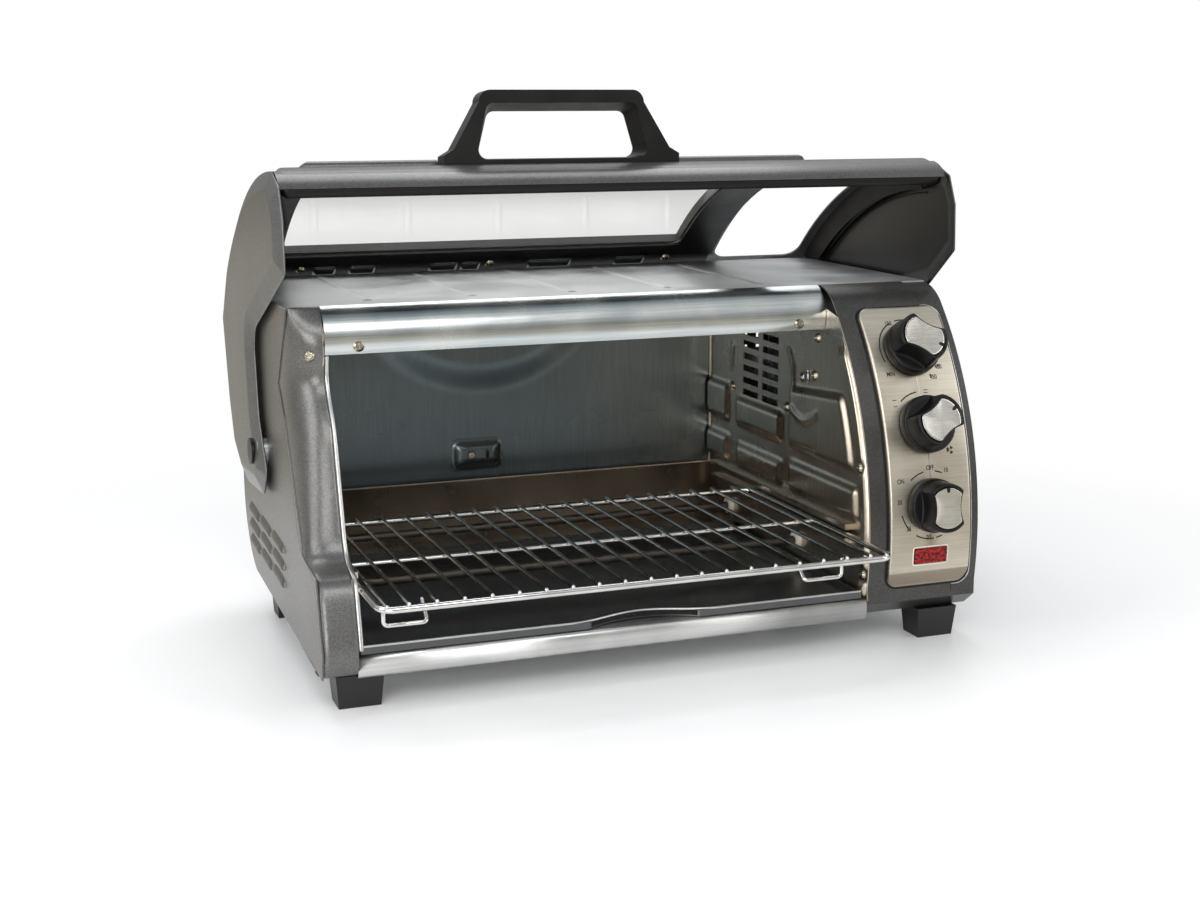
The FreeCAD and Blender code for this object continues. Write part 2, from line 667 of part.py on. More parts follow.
def straight(edge, axis):
    """True for a straight edge along x, y or z."""
    if edge.Curve.TypeId != "Part::GeomLine":
        return False
    along = edge.tangentAt(edge.FirstParameter)
    return abs(abs(getattr(along, axis)) - 1) < 1e-6


CASING = shifted("0", "-frame_shift", "0")
DOOR = (
    "placement(vector(0; pivot_y - pivot_y * cos(swing) - pivot_z * sin(swing) - frame_shift; "
    "pivot_z + pivot_y * sin(swing) - pivot_z * cos(swing)); rotation(vector(1; 0; 0); -swing))"
)


def place(body, where=CASING):
    body.setExpression("Placement", bound(where))


def inner_corners(sketch, loop, distance):
    """First places for the corners of a loop drawn a distance inside another."""
    count = len(loop)
    points = [FreeCAD.Vector(value(place[0]), value(place[1]), 0) for place in loop]
    area = sum(
        points[i].x * points[(i + 1) % count].y - points[(i + 1) % count].x * points[i].y
        for i in range(count)
    )
    inward = 1 if area > 0 else -1
    edges = []
    for index, place in enumerate(loop):
        begin, end = points[index], points[(index + 1) % count]
        chord = end - begin
        across = FreeCAD.Vector(-chord.y, chord.x, 0).normalize()
        if len(place) == 2:
            edges.append((begin + across * (inward * distance), chord.normalize(), None))
            continue
        radius = value(place[2])
        side = 1 if place[3] == "left" else -1
        rise = math.sqrt(max(radius ** 2 - (chord.Length / 2) ** 2, 0))
        centre = (begin + end) * 0.5 + across * (side * rise)
        edges.append((centre, None, radius - inward * side * distance))
    places = []
    for index in range(count):
        before, after = edges[index - 1], edges[index]
        if before[2] is None and after[2] is None:
            turn = before[1].x * after[1].y - before[1].y * after[1].x
            gap = after[0] - before[0]
            run = (gap.x * after[1].y - gap.y * after[1].x) / turn
            places.append(before[0] + before[1] * run)
            continue
        line, arc = (before, after) if before[2] is None else (after, before)
        gap = line[0] - arc[0]
        half = gap.dot(line[1])
        root = math.sqrt(max(half ** 2 - gap.dot(gap) + arc[2] ** 2, 0))
        choices = [line[0] + line[1] * (-half + sign * root) for sign in (1, -1)]
        places.append(min(choices, key=lambda spot: (spot - points[index]).Length))
    return edges, places


def add_inner_outline(sketch, loop, distance):
    """A loop held at a distance inside the given one by the sketch's own constraints."""
    add_outline(sketch, loop)
    count = len(loop)
    for index in range(count):
        sketch.setConstruction(index, True)
    edges, places = inner_corners(sketch, loop, value(distance))
    starts = []
    for index in range(count):
        begin, end = places[index], places[(index + 1) % count]
        centre, _, radius = edges[index]
        if radius is None:
            sketch.addGeometry(Part.LineSegment(begin, end), False)
            starts.append(1)
            continue
        side = 1 if loop[index][3] == "left" else -1
        low, high = (begin, end) if side == 1 else (end, begin)
        start_angle = math.atan2(low.y - centre.y, low.x - centre.x)
        end_angle = math.atan2(high.y - centre.y, high.x - centre.x)
        if end_angle < start_angle:
            end_angle += 2 * math.pi
        circle = Part.Circle(centre, FreeCAD.Vector(0, 0, 1), radius)
        sketch.addGeometry(Part.ArcOfCircle(circle, start_angle, end_angle), False)
        starts.append(1 if side == 1 else 2)
    for index in range(count):
        following = (index + 1) % count
        here, there = count + index, count + following
        sketch.addConstraint(
            Sketcher.Constraint("Coincident", here, 3 - starts[index], there, starts[following])
        )
        if edges[index][2] is not None:
            sketch.addConstraint(Sketcher.Constraint("Coincident", here, 3, index, 3))
            sign = "-" if edges[index][2] < value(loop[index][2]) else "+"
            made = sketch.addConstraint(Sketcher.Constraint("Radius", here, edges[index][2]))
            text = "(%s) %s (%s)" % (loop[index][2], sign, distance)
            sketch.setExpression("Constraints[%d]" % made, bound(text))
            continue
        for end in (starts[index], 3 - starts[index]):
            made = sketch.addConstraint(
                Sketcher.Constraint("Distance", here, end, index, value(distance))
            )
            sketch.setExpression("Constraints[%d]" % made, bound(distance))


# Casing


def side_outline(front):
    """A side's outline: its own front edge, then the belly, heel, back and top."""
    return front + [
        corner("side_toe"),
        corner("side_belly"),
        corner("side_heel") + ("heel_radius", "left"),
        corner("side_nape"),
        ("body_rear", "body_top - panel_sheet"),
    ]


def louvre_slots():
    """Slanted slots of a side's vents, three rows of three."""
    loops = []
    for row in range(3):
        for column in range(3):
            y = "louvre_y + %d * louvre_across" % column
            z = "louvre_z + %d * louvre_up" % row
            loops.append([
                (y, z),
                (y + " + louvre_long", z + " + louvre_slant"),
                (y + " + louvre_long", z + " + louvre_slant + louvre_tall"),
                (y, z + " + louvre_tall"),
            ])
    return loops


def left_side_panel():
    body = new_body("left_side_panel")
    front = [
        (corner("fold_top")[0], "body_top - panel_sheet"),
        corner("fold_crown"),
        corner("fold_brow"),
        corner("fold_nape"),
        corner("fold_cheek"),
        corner("fold_waist"),
        corner("fold_step"),
        corner("fold_shin"),
    ]
    pad(body, [side_outline(front)], "-body_half", "-body_half + panel_sheet")
    pocket(body, louvre_slots(), "-body_half - 1", "-body_half + 2 * panel_sheet")
    pin_hole = ("-body_half - 1", "pivot_y", "pivot_z", FACING_RIGHT)
    rod(body, "Subtractive", pin_hole, "pin_radius + running_gap", "panel_sheet + 2")
    place(body)


def front_profile(offset, top):
    """The control side's front, from the chin up the curve to the seam at the top."""
    return [
        bow(offset, "bow_low") + ("bow_radius + (%s)" % offset, "right"),
        bow(offset, "bow_high") + ("brow_radius + (%s)" % offset, "right"),
        ("seam_y", top),
    ]


def right_side_panel():
    body = new_body("right_side_panel")
    outer = front_profile("-frame_step", "body_top - panel_sheet")
    outline = outer + [
        ("body_rear", "body_top - panel_sheet"),
        corner("side_nape") + ("heel_radius", "right"),
        corner("side_heel"),
        corner("side_belly"),
        corner("frame_toe"),
        corner("frame_chin"),
    ]
    pad(body, [outline], "frame_edge", "body_half")
    inner = front_profile("-frame_step - panel_sheet", "body_top - 2 * panel_sheet")
    hollow = inner + [
        ("seam_y", "body_top + 5"),
        ("body_rear + 5", "body_top + 5"),
        ("body_rear + 5", "10"),
        ("frame_toe_y + 2 * panel_sheet", "10"),
        ("frame_toe_y + 2 * panel_sheet", "frame_toe_z"),
        moved(corner("frame_chin"), "1.6 * panel_sheet", "panel_sheet / 2"),
    ]
    pocket(body, [hollow], "frame_edge - 1", "body_half - panel_sheet")
    pocket(body, louvre_slots(), "body_half - 2 * panel_sheet", "body_half + 1")
    pin_hole = ("body_half - panel_sheet - 1", "pivot_y", "pivot_z", FACING_RIGHT)
    rod(body, "Subtractive", pin_hole, "pin_radius + running_gap", "panel_sheet + 2")
    place(body)


def left_pillar():
    """A formed sheet between the cavity's left wall and the left side panel."""
    body = new_body("left_pillar")

    def strip(prefix):
        names = ["top", "crown", "brow", "nape", "cheek", "waist", "step", "shin"]
        front = [corner(prefix + "_" + name) for name in names]
        flange = [
            corner("side_toe"),
            ("sill_front + sill_depth", "side_toe_z"),
            ("sill_front + sill_depth", "side_toe_z + pillar_sheet"),
            moved(corner("side_toe"), "pillar_sheet", "pillar_sheet"),
        ]
        back = [moved(spot, "pillar_sheet", "-pillar_sheet") for spot in reversed(front)]
        return front + flange + back

    first = new_sketch(body, "jamb", "YZ_Plane", [strip("jamb")], "-cavity_left - liner_sheet")
    second = new_sketch(body, "fold", "YZ_Plane", [strip("fold")], "-body_half + panel_sheet")
    feature = body.newObject("PartDesign::AdditiveLoft", "left_pillar_sheet")
    feature.Profile = first
    feature.Sections = [second]
    feature.Ruled = True
    place(body)


def control_frame():
    body = new_body("control_frame")
    heel = "sill_front + sill_depth"
    outer = [(heel, "frame_toe_z"), corner("frame_toe"), corner("frame_chin")]
    outer += front_profile("0", "body_top")
    inner_top = ("seam_y", "body_top - panel_sheet")
    inner = [
        inner_top + ("brow_radius - panel_sheet", "left"),
        bow("-panel_sheet", "bow_high") + ("bow_radius - panel_sheet", "left"),
        bow("-panel_sheet", "bow_low"),
        moved(corner("frame_chin"), "panel_sheet", "panel_sheet / 2"),
        moved(corner("frame_toe"), "panel_sheet / 2", "panel_sheet"),
        (heel, "frame_toe_z + panel_sheet"),
    ]
    pad(body, [outer + inner], "cavity_right + liner_sheet", "frame_edge")
    for angle in ("temperature_angle", "function_angle", "timer_angle"):
        spot = ("control_x",) + bow("0", angle) + (facing(angle),)
        drill(body, [spot], "shaft_radius + 1", "8")
    place(body)


def control_plate():
    """A brushed plate with folded edges, raised on the control frame."""
    body = new_body("control_plate")
    pad(body, [bow_band("0", "plate_rise", "plate_low", "plate_high")], "plate_left", "plate_right")
    corner_x = [value("plate_left"), value("plate_right")]
    round_edges(
        body,
        "plate_corner",
        lambda edge: edge.Length < value("plate_rise") + 0.2
        and min(abs(edge.CenterOfMass.x - x) for x in corner_x) < 0.05
        and not straight(edge, "x"),
    )
    inside = bow_band("-1", "plate_rise - plate_sheet", "plate_low + plate_hem",
                      "plate_high - plate_hem")
    pocket(body, [inside], "plate_left + plate_fold", "plate_right - plate_fold")
    for angle in ("temperature_angle", "function_angle", "timer_angle"):
        spot = ("control_x",) + bow("plate_rise", angle) + (facing(angle),)
        drill(body, [spot], "shaft_radius + 1", "6")
    opening = lens_outline("-2", "plate_rise + 2")
    pocket(body, [opening], "control_x - lens_width / 2", "control_x + lens_width / 2")
    place(body)


def lens_outline(inner, outer):
    """The pilot lens seen from the side, between two offsets of the panel's curve."""
    half = "57.2958 * (lens_height / 2) / bow_radius"
    return bow_band(inner, outer, "lamp_angle - " + half, "lamp_angle + " + half)


def pilot_lens():
    body = new_body("pilot_lens")
    shape = lens_outline("0", "plate_rise + lens_rise")
    pad(body, [shape], "control_x - lens_width / 2", "control_x + lens_width / 2")
    place(body)


def top_cover():
    """A flat sheet with ribs pressed up in it from front to back."""
    body = new_body("top_cover")
    low = ("-body_half", "seam_y + free_gap", "body_top - panel_sheet")
    block(body, "Additive", low, ("body_half", "body_rear", "body_top"))
    crest = "(rib_width ^ 2 / 4 + rib_rise ^ 2) / (2 * rib_rise)"
    ribs = []
    for number in range(5):
        middle = "rib_first + %d * rib_pitch" % number
        ribs.append([
            ("%s + rib_width / 2" % middle, "body_top", crest, "left"),
            ("%s - rib_width / 2" % middle, "body_top"),
        ])
    pad(body, ribs, "-rib_rear", "-rib_front", "XZ_Plane")
    place(body)


def slot_column(first, second, wide, tall, up, rows):
    """Rectangles one above the other, from the first one's low corner."""
    loops = []
    for row in range(rows):
        low = "%s + %d * %s" % (second, row, up)
        loops.append(rectangle(first, low, "%s + %s" % (first, wide), "%s + %s" % (low, tall)))
    return loops


def back_panel():
    body = new_body("back_panel")
    inner_nape = ("side_nape_y - panel_sheet", "side_nape_z")
    outline = [
        ("body_rear", "body_top - panel_sheet"),
        corner("side_nape") + ("heel_radius", "right"),
        corner("side_heel"),
        moved(corner("side_heel"), "0", "panel_sheet") + ("heel_radius - panel_sheet", "left"),
        inner_nape,
        ("body_rear - panel_sheet", "body_top - panel_sheet"),
    ]
    pad(body, [outline], "-body_half + panel_sheet", "body_half - panel_sheet")
    slots = slot_column("back_vent_x", "back_vent_z", "back_vent_long", "back_vent_tall",
                        "back_vent_up", 6)
    column = pocket(body, slots, "-body_rear - 2", "-body_rear + 3", "XZ_Plane")
    repeated(body, column, "X_Axis", 2, "back_vent_across")
    rod(body, "Subtractive", ("gland_x", "body_rear + 3", "gland_z", FACING_FRONT), "gland_radius", "8")
    drill(body, back_screw_spots())
    place(body)


def back_screw_spots():
    spots = []
    outer = ("-body_half + back_screw_inset", "body_half - back_screw_inset")
    for x in outer + ("-back_screw_x", "back_screw_x"):
        spots.append((x, "body_rear", "body_top - back_screw_top", FACING_BACK))
    for x in outer:
        spots.append((x, "body_rear", "side_nape_z + back_screw_low", FACING_BACK))
    return spots


def cord_gland():
    """The collar in the back through which the mains lead enters."""
    body = new_body("cord_gland")
    neck = ("gland_x", "body_rear - gland_neck", "gland_z", FACING_BACK)
    rod(body, "Additive", neck, "gland_radius", "gland_neck")
    rim = ("gland_x", "body_rear", "gland_z", FACING_BACK)
    rod(body, "Additive", rim, "gland_radius + gland_lip", "gland_rise")
    rod(body, "Subtractive", neck, "gland_bore", "gland_neck + gland_rise + 1")
    place(body)


def bottom_panel():
    """A vented sheet that closes the casing below, level over the feet and rising between."""
    body = new_body("bottom_panel")
    front = "sill_front + sill_depth + free_gap"
    outline = [
        (front, "floor_height"),
        ("floor_front", "floor_height"),
        ("floor_rear", "floor_under"),
        ("side_heel_y", "floor_under"),
        ("side_heel_y", "side_heel_z + panel_sheet"),
        ("side_heel_y - panel_sheet", "side_heel_z + panel_sheet"),
        ("side_heel_y - panel_sheet", "floor_under + panel_sheet"),
        ("floor_rear", "floor_under + panel_sheet"),
        ("floor_front", "floor_height + panel_sheet"),
        (front, "floor_height + panel_sheet"),
    ]
    pad(body, [outline], "-body_half + panel_sheet", "body_half - panel_sheet")
    slots = slot_column("floor_vent_x", "floor_vent_y", "floor_vent_long", "floor_vent_wide",
                        "floor_vent_back", 8)
    column = pocket(body, slots, "floor_height - 1", "floor_under + panel_sheet + 1", "XY_Plane")
    repeated(body, column, "X_Axis", 4, "3 * floor_vent_across")
    place(body)


def header_bar():
    """The rounded bright bar above the cavity's mouth."""
    body = new_body("header_bar")
    low = corner("header_low")
    under = "body_top - panel_sheet"
    outline = [
        ("seam_y", "body_top", "header_bulge", "left"),
        low,
        moved(low, "header_return", "-header_dip"),
        moved(low, "header_return", "-header_dip + header_sheet"),
        moved(low, "header_sheet", "header_sheet") + ("header_bulge - header_sheet", "right"),
        ("seam_y", under + " - header_sheet"),
        ("seam_y + header_return", under + " - header_sheet"),
        ("seam_y + header_return", under),
        ("seam_y", under),
    ]
    pad(body, [outline], "-cavity_left + free_gap", "cavity_right - free_gap")
    place(body)


def sill_bar():
    """The folded bar below the cavity's mouth, open towards the back."""
    body = new_body("sill_bar")
    outline = [
        ("sill_front", "floor_height"),
        ("sill_front", "sill_top"),
        ("sill_front + sill_depth", "sill_top"),
        ("sill_front + sill_depth", "sill_top - header_sheet"),
        ("sill_front + header_sheet", "sill_top - header_sheet"),
        ("sill_front + header_sheet", "floor_height + header_sheet"),
        ("sill_front + sill_depth", "floor_height + header_sheet"),
        ("sill_front + sill_depth", "floor_height"),
    ]
    pad(body, [outline], "-cavity_left + free_gap", "cavity_right - free_gap")
    place(body)


# Cavity


def rack_ledges(body, wall, way):
    """Two pressed ledges on a side wall, the rack's rail between them."""
    lower_top = "rack_level - rack_bar_radius - free_gap"
    upper_low = "rack_level + rack_bar_radius + 1"
    for low_z, high_z in (
        (lower_top + " - ledge_height", lower_top),
        (upper_low, upper_low + " + ledge_height"),
    ):
        near_x, far_x = (wall, wall + " + ledge_reach") if way > 0 else (wall + " - ledge_reach", wall)
        block(body, "Additive", (near_x, "ledge_front", low_z), (far_x, "cavity_rear - ledge_end", high_z))


def cavity_left_wall():
    body = new_body("cavity_left_wall")
    outline = [
        (corner("jamb_brow")[0], "cavity_roof + liner_sheet"),
        corner("jamb_brow"),
        corner("jamb_nape"),
        corner("jamb_cheek"),
        corner("jamb_waist"),
        corner("jamb_step"),
        corner("jamb_shin"),
        ("sill_front", "cavity_base - liner_sheet"),
        ("cavity_heel", "cavity_base - liner_sheet"),
        ("cavity_rear + liner_sheet", "cavity_nape"),
        ("cavity_rear + liner_sheet", "cavity_roof + liner_sheet"),
    ]
    pad(body, [outline], "-cavity_left - liner_sheet", "-cavity_left")
    rack_ledges(body, "-cavity_left", 1)
    place(body)


def cavity_right_wall():
    body = new_body("cavity_right_wall")
    outline = [
        bow("0", "bow_low") + ("bow_radius", "right"),
        bow("0", "bow_high - 1.5"),
        ("header_low_y + header_return", "cavity_roof + liner_sheet"),
        ("cavity_rear + liner_sheet", "cavity_roof + liner_sheet"),
        ("cavity_rear + liner_sheet", "cavity_nape"),
        ("cavity_heel", "cavity_base - liner_sheet"),
        ("sill_front", "cavity_base - liner_sheet"),
    ]
    pad(body, [outline], "cavity_right", "cavity_right + liner_sheet")
    rack_ledges(body, "cavity_right", -1)
    vents = slot_column("vent_y", "vent_z", "vent_long", "vent_tall", "vent_up", 6)
    column = pocket(body, vents, "cavity_right - 1", "cavity_right + liner_sheet + 1")
    repeated(body, column, "Y_Axis", 2, "vent_across")
    for leg in ("element_front", "element_back"):
        for level in ("element_upper", "element_lower"):
            spot = ("cavity_right - 1", leg, level, FACING_RIGHT)
            rod(body, "Subtractive", spot, "insulator_radius", "liner_sheet + 2")
    drill(body, wall_screw_spots())
    place(body)


def wall_screw_spots():
    """Screws on the right wall, facing into the cavity."""
    return [
        ("cavity_right",) + bow("-%s_inset" % name, name + "_angle") + (FACING_LEFT,)
        for name, inset, angle in WALL_SCREWS
    ]


def cavity_back_wall():
    """The back of the liner, with a round field pressed forward and a small latch plate."""
    body = new_body("cavity_back_wall")
    face = "-cavity_rear"
    outline = [
        ("cavity_rear", "cavity_roof"),
        ("cavity_rear", "cavity_nape"),
        ("cavity_heel", "cavity_base"),
        ("cavity_heel", "cavity_base - liner_sheet"),
        ("cavity_rear + liner_sheet", "cavity_nape"),
        ("cavity_rear + liner_sheet", "cavity_roof"),
    ]
    pad(body, [outline], "-cavity_left", "cavity_right")
    half = "sqrt(field_radius ^ 2 - (field_z - cavity_roof + 2) ^ 2)"
    field = [
        ("field_x - " + half, "cavity_roof - 2", "field_radius", "left"),
        ("field_x + " + half, "cavity_roof - 2"),
    ]
    pad(body, [field], face, "-cavity_rear + field_rise", "XZ_Plane")
    latch = rectangle("latch_left", "latch_low", "latch_right", "latch_high")
    pad(body, [latch], face, "-cavity_rear + latch_rise", "XZ_Plane")
    place(body)


def cavity_ceiling():
    body = new_body("cavity_ceiling")
    low = ("-cavity_left", "header_low_y + header_return + free_gap", "cavity_roof")
    high = ("cavity_right", "cavity_rear + liner_sheet", "cavity_roof + liner_sheet")
    block(body, "Additive", low, high)
    place(body)


def cavity_floor():
    body = new_body("cavity_floor")
    low = ("-cavity_left", "sill_front + sill_depth + free_gap", "cavity_base - liner_sheet")
    high = ("cavity_right", "cavity_heel", "cavity_base")
    block(body, "Additive", low, high)
    place(body)


def heating_element(label, level):
    """A rod bent into a long U, both ends through the right wall."""
    body = new_body(label)
    path = body.newObject("Sketcher::SketchObject", label + "_path")
    path.AttachmentSupport = [(origin_plane(body, "XY_Plane"), "")]
    path.MapMode = "FlatFace"
    path.setExpression("AttachmentOffset.Base.z", bound(level))
    right = value("cavity_right + liner_sheet + element_tail")
    left = -value("element_left")
    front, rear, bend = value("element_front"), value("element_back"), value("element_bend")
    up = FreeCAD.Vector(0, 0, 1)
    near_centre = FreeCAD.Vector(left + bend, front + bend, 0)
    far_centre = FreeCAD.Vector(left + bend, rear - bend, 0)
    turn = math.pi / 2
    path.addGeometry(Part.LineSegment(
        FreeCAD.Vector(right, front, 0), FreeCAD.Vector(left + bend, front, 0)), False)
    path.addGeometry(Part.ArcOfCircle(Part.Circle(near_centre, up, bend), 2 * turn, 3 * turn), False)
    path.addGeometry(Part.LineSegment(
        FreeCAD.Vector(left, front + bend, 0), FreeCAD.Vector(left, rear - bend, 0)), False)
    path.addGeometry(Part.ArcOfCircle(Part.Circle(far_centre, up, bend), turn, 2 * turn), False)
    path.addGeometry(Part.LineSegment(
        FreeCAD.Vector(left + bend, rear, 0), FreeCAD.Vector(right, rear, 0)), False)
    section = new_circle(body, label + "_section", "YZ_Plane", "element_front", level,
                         "element_radius", "cavity_right + liner_sheet + element_tail")
    feature = body.newObject("PartDesign::AdditivePipe", label + "_rod")
    feature.Profile = section
    feature.Spine = (path, [])
    place(body)


def upper_heating_element():
    heating_element("upper_heating_element", "element_upper")


def lower_heating_element():
    heating_element("lower_heating_element", "element_lower")


# Controls


def control_spot(angle, height, turn="0"):
    """The placement on the panel's curve, height above it, its Y axis towards the pointer."""
    y, z = bow("0", angle)
    lift = "placement(vector(0; 0; %s); rotation(vector(0; 0; 1); -(%s)))" % (height, turn)
    base = "placement(vector(control_x; %s - frame_shift; %s); %s)" % (y, z, facing(angle))
    return base + " * " + lift


CONTROLS = (
    ("temperature", "temperature_angle", "temperature_turn"),
    ("function", "function_angle", "function_turn"),
    ("timer", "timer_angle", "timer_turn"),
)


def grip_outline(radius, half):
    """Round ends and hollow sides, the pointer's way along Y."""
    end = "sqrt((%s) ^ 2 - (%s) ^ 2)" % (radius, half)
    return [
        (half, "-" + end, "grip_waist", "right"),
        (half, end, radius, "left"),
        ("-(%s)" % half, end, "grip_waist", "right"),
        ("-(%s)" % half, "-" + end, radius, "left"),
    ]


def knob(name, angle, turn):
    """A round skirt under a waisted grip."""
    body = new_body(name + "_knob")
    rod(body, "Additive", ("0", "0", "0", FACING_UP), "knob_radius", "knob_skirt")
    pad(body, [grip_outline("grip_radius", "grip_half")], "knob_skirt", "knob_height", "XY_Plane")
    rod(body, "Subtractive", ("0", "0", "-1", FACING_UP), "shaft_radius", "knob_height + 1 - knob_cap")
    place(body, control_spot(angle, "plate_rise + 2 * free_gap", turn))

    inlay = new_body(name + "_knob_inlay")
    outline = grip_outline("grip_radius - inlay_inset", "grip_half - inlay_inset")
    pad(inlay, [outline], "knob_height", "knob_height + inlay_height", "XY_Plane")
    place(inlay, control_spot(angle, "plate_rise + 2 * free_gap", turn))

    shaft = new_body(name + "_shaft")
    rod(shaft, "Additive", ("0", "0", "-shaft_length", FACING_UP), "shaft_radius",
        "shaft_length + knob_height - knob_cap")
    place(shaft, control_spot(angle, "plate_rise + 2 * free_gap", turn))


def knobs():
    for name, angle, turn in CONTROLS:
        knob(name, angle, turn)


def control_case(label, angle, is_round):
    """The working part behind the panel, with the shaft's bearing."""
    body = new_body(label)
    if is_round:
        spot = ("0", "0", "-control_depth - case_gap", FACING_UP)
        rod(body, "Additive", spot, "timer_radius", "control_depth")
    else:
        low = ("-control_width / 2", "-control_height / 2", "-control_depth - case_gap")
        block(body, "Additive", low, ("control_width / 2", "control_height / 2", "-case_gap"))
    spot = ("0", "0", "-case_gap - 1", FACING_UP)
    rod(body, "Additive", spot, "shaft_radius + hole_wall", "case_gap + 1 - panel_sheet")
    rod(body, "Subtractive", ("0", "0", "-control_depth - 10", FACING_UP),
        "shaft_radius + running_gap", "control_depth + 20")
    place(body, control_spot(angle, "0"))


def thermostat():
    control_case("thermostat", "temperature_angle", False)


def function_switch():
    control_case("function_switch", "function_angle", False)


def toast_timer():
    control_case("toast_timer", "timer_angle", True)


def timer_bell():
    """A shallow steel bell behind the clockwork."""
    body = new_body("timer_bell")
    rear = "-control_depth - case_gap - bell_depth"
    rod(body, "Additive", ("0", "0", rear, FACING_UP), "bell_radius", "bell_depth")
    rod(body, "Subtractive", ("0", "0", rear + " + bell_sheet", FACING_UP),
        "bell_radius - bell_sheet", "bell_depth")
    rod(body, "Additive", ("0", "striker_place", rear, FACING_UP), "striker_radius", "bell_depth")
    rod(body, "Subtractive", ("0", "0", rear + " - 1", FACING_UP), "shaft_radius + 1", "bell_depth + 2")
    place(body, control_spot("timer_angle", "0"))


def pilot_lamp():
    body = new_body("pilot_lamp")
    rod(body, "Additive", ("-lamp_length / 2", "0", "-lamp_radius - panel_sheet", FACING_RIGHT),
        "lamp_radius", "lamp_length")
    place(body, control_spot("lamp_angle", "-1"))


def terminal_block():
    """A plastic block on the bottom panel with four channels for the wires."""
    body = new_body("terminal_block")
    base = "floor_under + panel_sheet"
    top = base + " + block_tall"
    rear = "side_heel_y - panel_sheet - block_back"
    front = rear + " - block_deep"
    block(body, "Additive", ("block_x", front, base), ("block_x + block_long", rear, top))
    for number in range(4):
        left = "block_x + 3 + %d * block_pitch" % number
        block(body, "Subtractive", (left, front + " - 1", top + " - block_slot / 2"),
              (left + " + block_slot", rear + " + 1", top + " + 1"))
    place(body)


# Fan


def fan_wheel():
    """A disc and a hub with radial blades, drawn about the X axis."""
    body = new_body("fan_wheel")
    disc = ("fan_face + fan_width - 2 * fan_sheet", "0", "0", FACING_RIGHT)
    rod(body, "Additive", disc, "fan_radius", "fan_sheet")
    rod(body, "Additive", ("fan_face + 2", "0", "0", FACING_RIGHT), "fan_shaft_radius + fan_hub",
        "fan_width - 4")
    for number in range(10):
        blade = body.newObject("PartDesign::AdditiveBox", "blade")
        blade.setExpression("Length", bound("fan_width - 2 * fan_sheet"))
        blade.setExpression("Width", bound("fan_sheet"))
        blade.setExpression("Height", bound("fan_radius - fan_shaft_radius - fan_hub + 1"))
        turn = "placement(vector(0; 0; 0); rotation(vector(1; 0; 0); %d * 36))" % number
        shift = shifted("fan_face", "-fan_sheet / 2", "fan_shaft_radius + fan_hub - 1")
        blade.setExpression("Placement", bound(turn + " * " + shift))
    rod(body, "Subtractive", ("fan_face - 1", "0", "0", FACING_RIGHT), "fan_shaft_radius", "fan_width + 2")
    place(body, shifted("0", "fan_y - frame_shift", "fan_z"))


def fan_shaft():
    body = new_body("fan_shaft")
    rod(body, "Additive", ("fan_face + 1", "fan_y", "fan_z", FACING_RIGHT), "fan_shaft_radius",
        "motor_face - fan_face + motor_length / 3")
    place(body)


def fan_motor():
    body = new_body("fan_motor")
    rod(body, "Additive", ("motor_face", "fan_y", "fan_z", FACING_RIGHT), "motor_radius", "motor_length")
    rod(body, "Subtractive", ("motor_face - 1", "fan_y", "fan_z", FACING_RIGHT),
        "fan_shaft_radius + running_gap", "motor_length / 2")
    place(body)


def fan_bracket():
    """A strap that holds the motor to the cavity's right wall."""
    body = new_body("fan_bracket")
    half, bottom, top = "(fan_radius + strap_reach)", "fan_z - strap_half", "fan_z + strap_half"
    block(body, "Additive", ("motor_face - strap_sheet", "fan_y - " + half, bottom),
          ("motor_face", "fan_y + " + half, top))
    for low_y, high_y in (
        ("fan_y - " + half, "fan_y - %s + strap_sheet" % half),
        ("fan_y + %s - strap_sheet" % half, "fan_y + " + half),
    ):
        low = ("cavity_right + liner_sheet", low_y, bottom)
        block(body, "Additive", low, ("motor_face", high_y, top))
    spot = ("motor_face - 2 * strap_sheet", "fan_y", "fan_z", FACING_RIGHT)
    rod(body, "Subtractive", spot, "fan_shaft_radius + 2", "3 * strap_sheet")
    place(body)


# Feet


def foot_master(label, height):
    """A black block, narrower at the sole, drawn about its own middle."""
    body = new_master(label)
    half_x, half_y = "foot_width / 2", "foot_depth / 2"
    top = rectangle("-" + half_x, "-" + half_y, half_x, half_y)
    sole = rectangle("-%s + foot_taper" % half_x, "-%s + foot_taper" % half_y,
                     "%s - foot_taper" % half_x, "%s - foot_taper" % half_y)
    first = new_sketch(body, label + "_sole", "XY_Plane", [sole])
    second = new_sketch(body, label + "_top", "XY_Plane", [top], height)
    feature = body.newObject("PartDesign::AdditiveLoft", label + "_block")
    feature.Profile = first
    feature.Sections = [second]
    feature.Ruled = True
    return body


def feet():
    pieces = []
    for master, y in (
        (foot_master("front_foot_master", "floor_height"), "foot_depth / 2"),
        (foot_master("rear_foot_master", "floor_under"), "foot_rear - foot_depth / 2"),
    ):
        for sign in ("-", ""):
            pieces.append((master, (sign + "(foot_inner + foot_width / 2)", y, "0", FACING_UP)))
    copies("feet", pieces)


# Rack and crumb tray


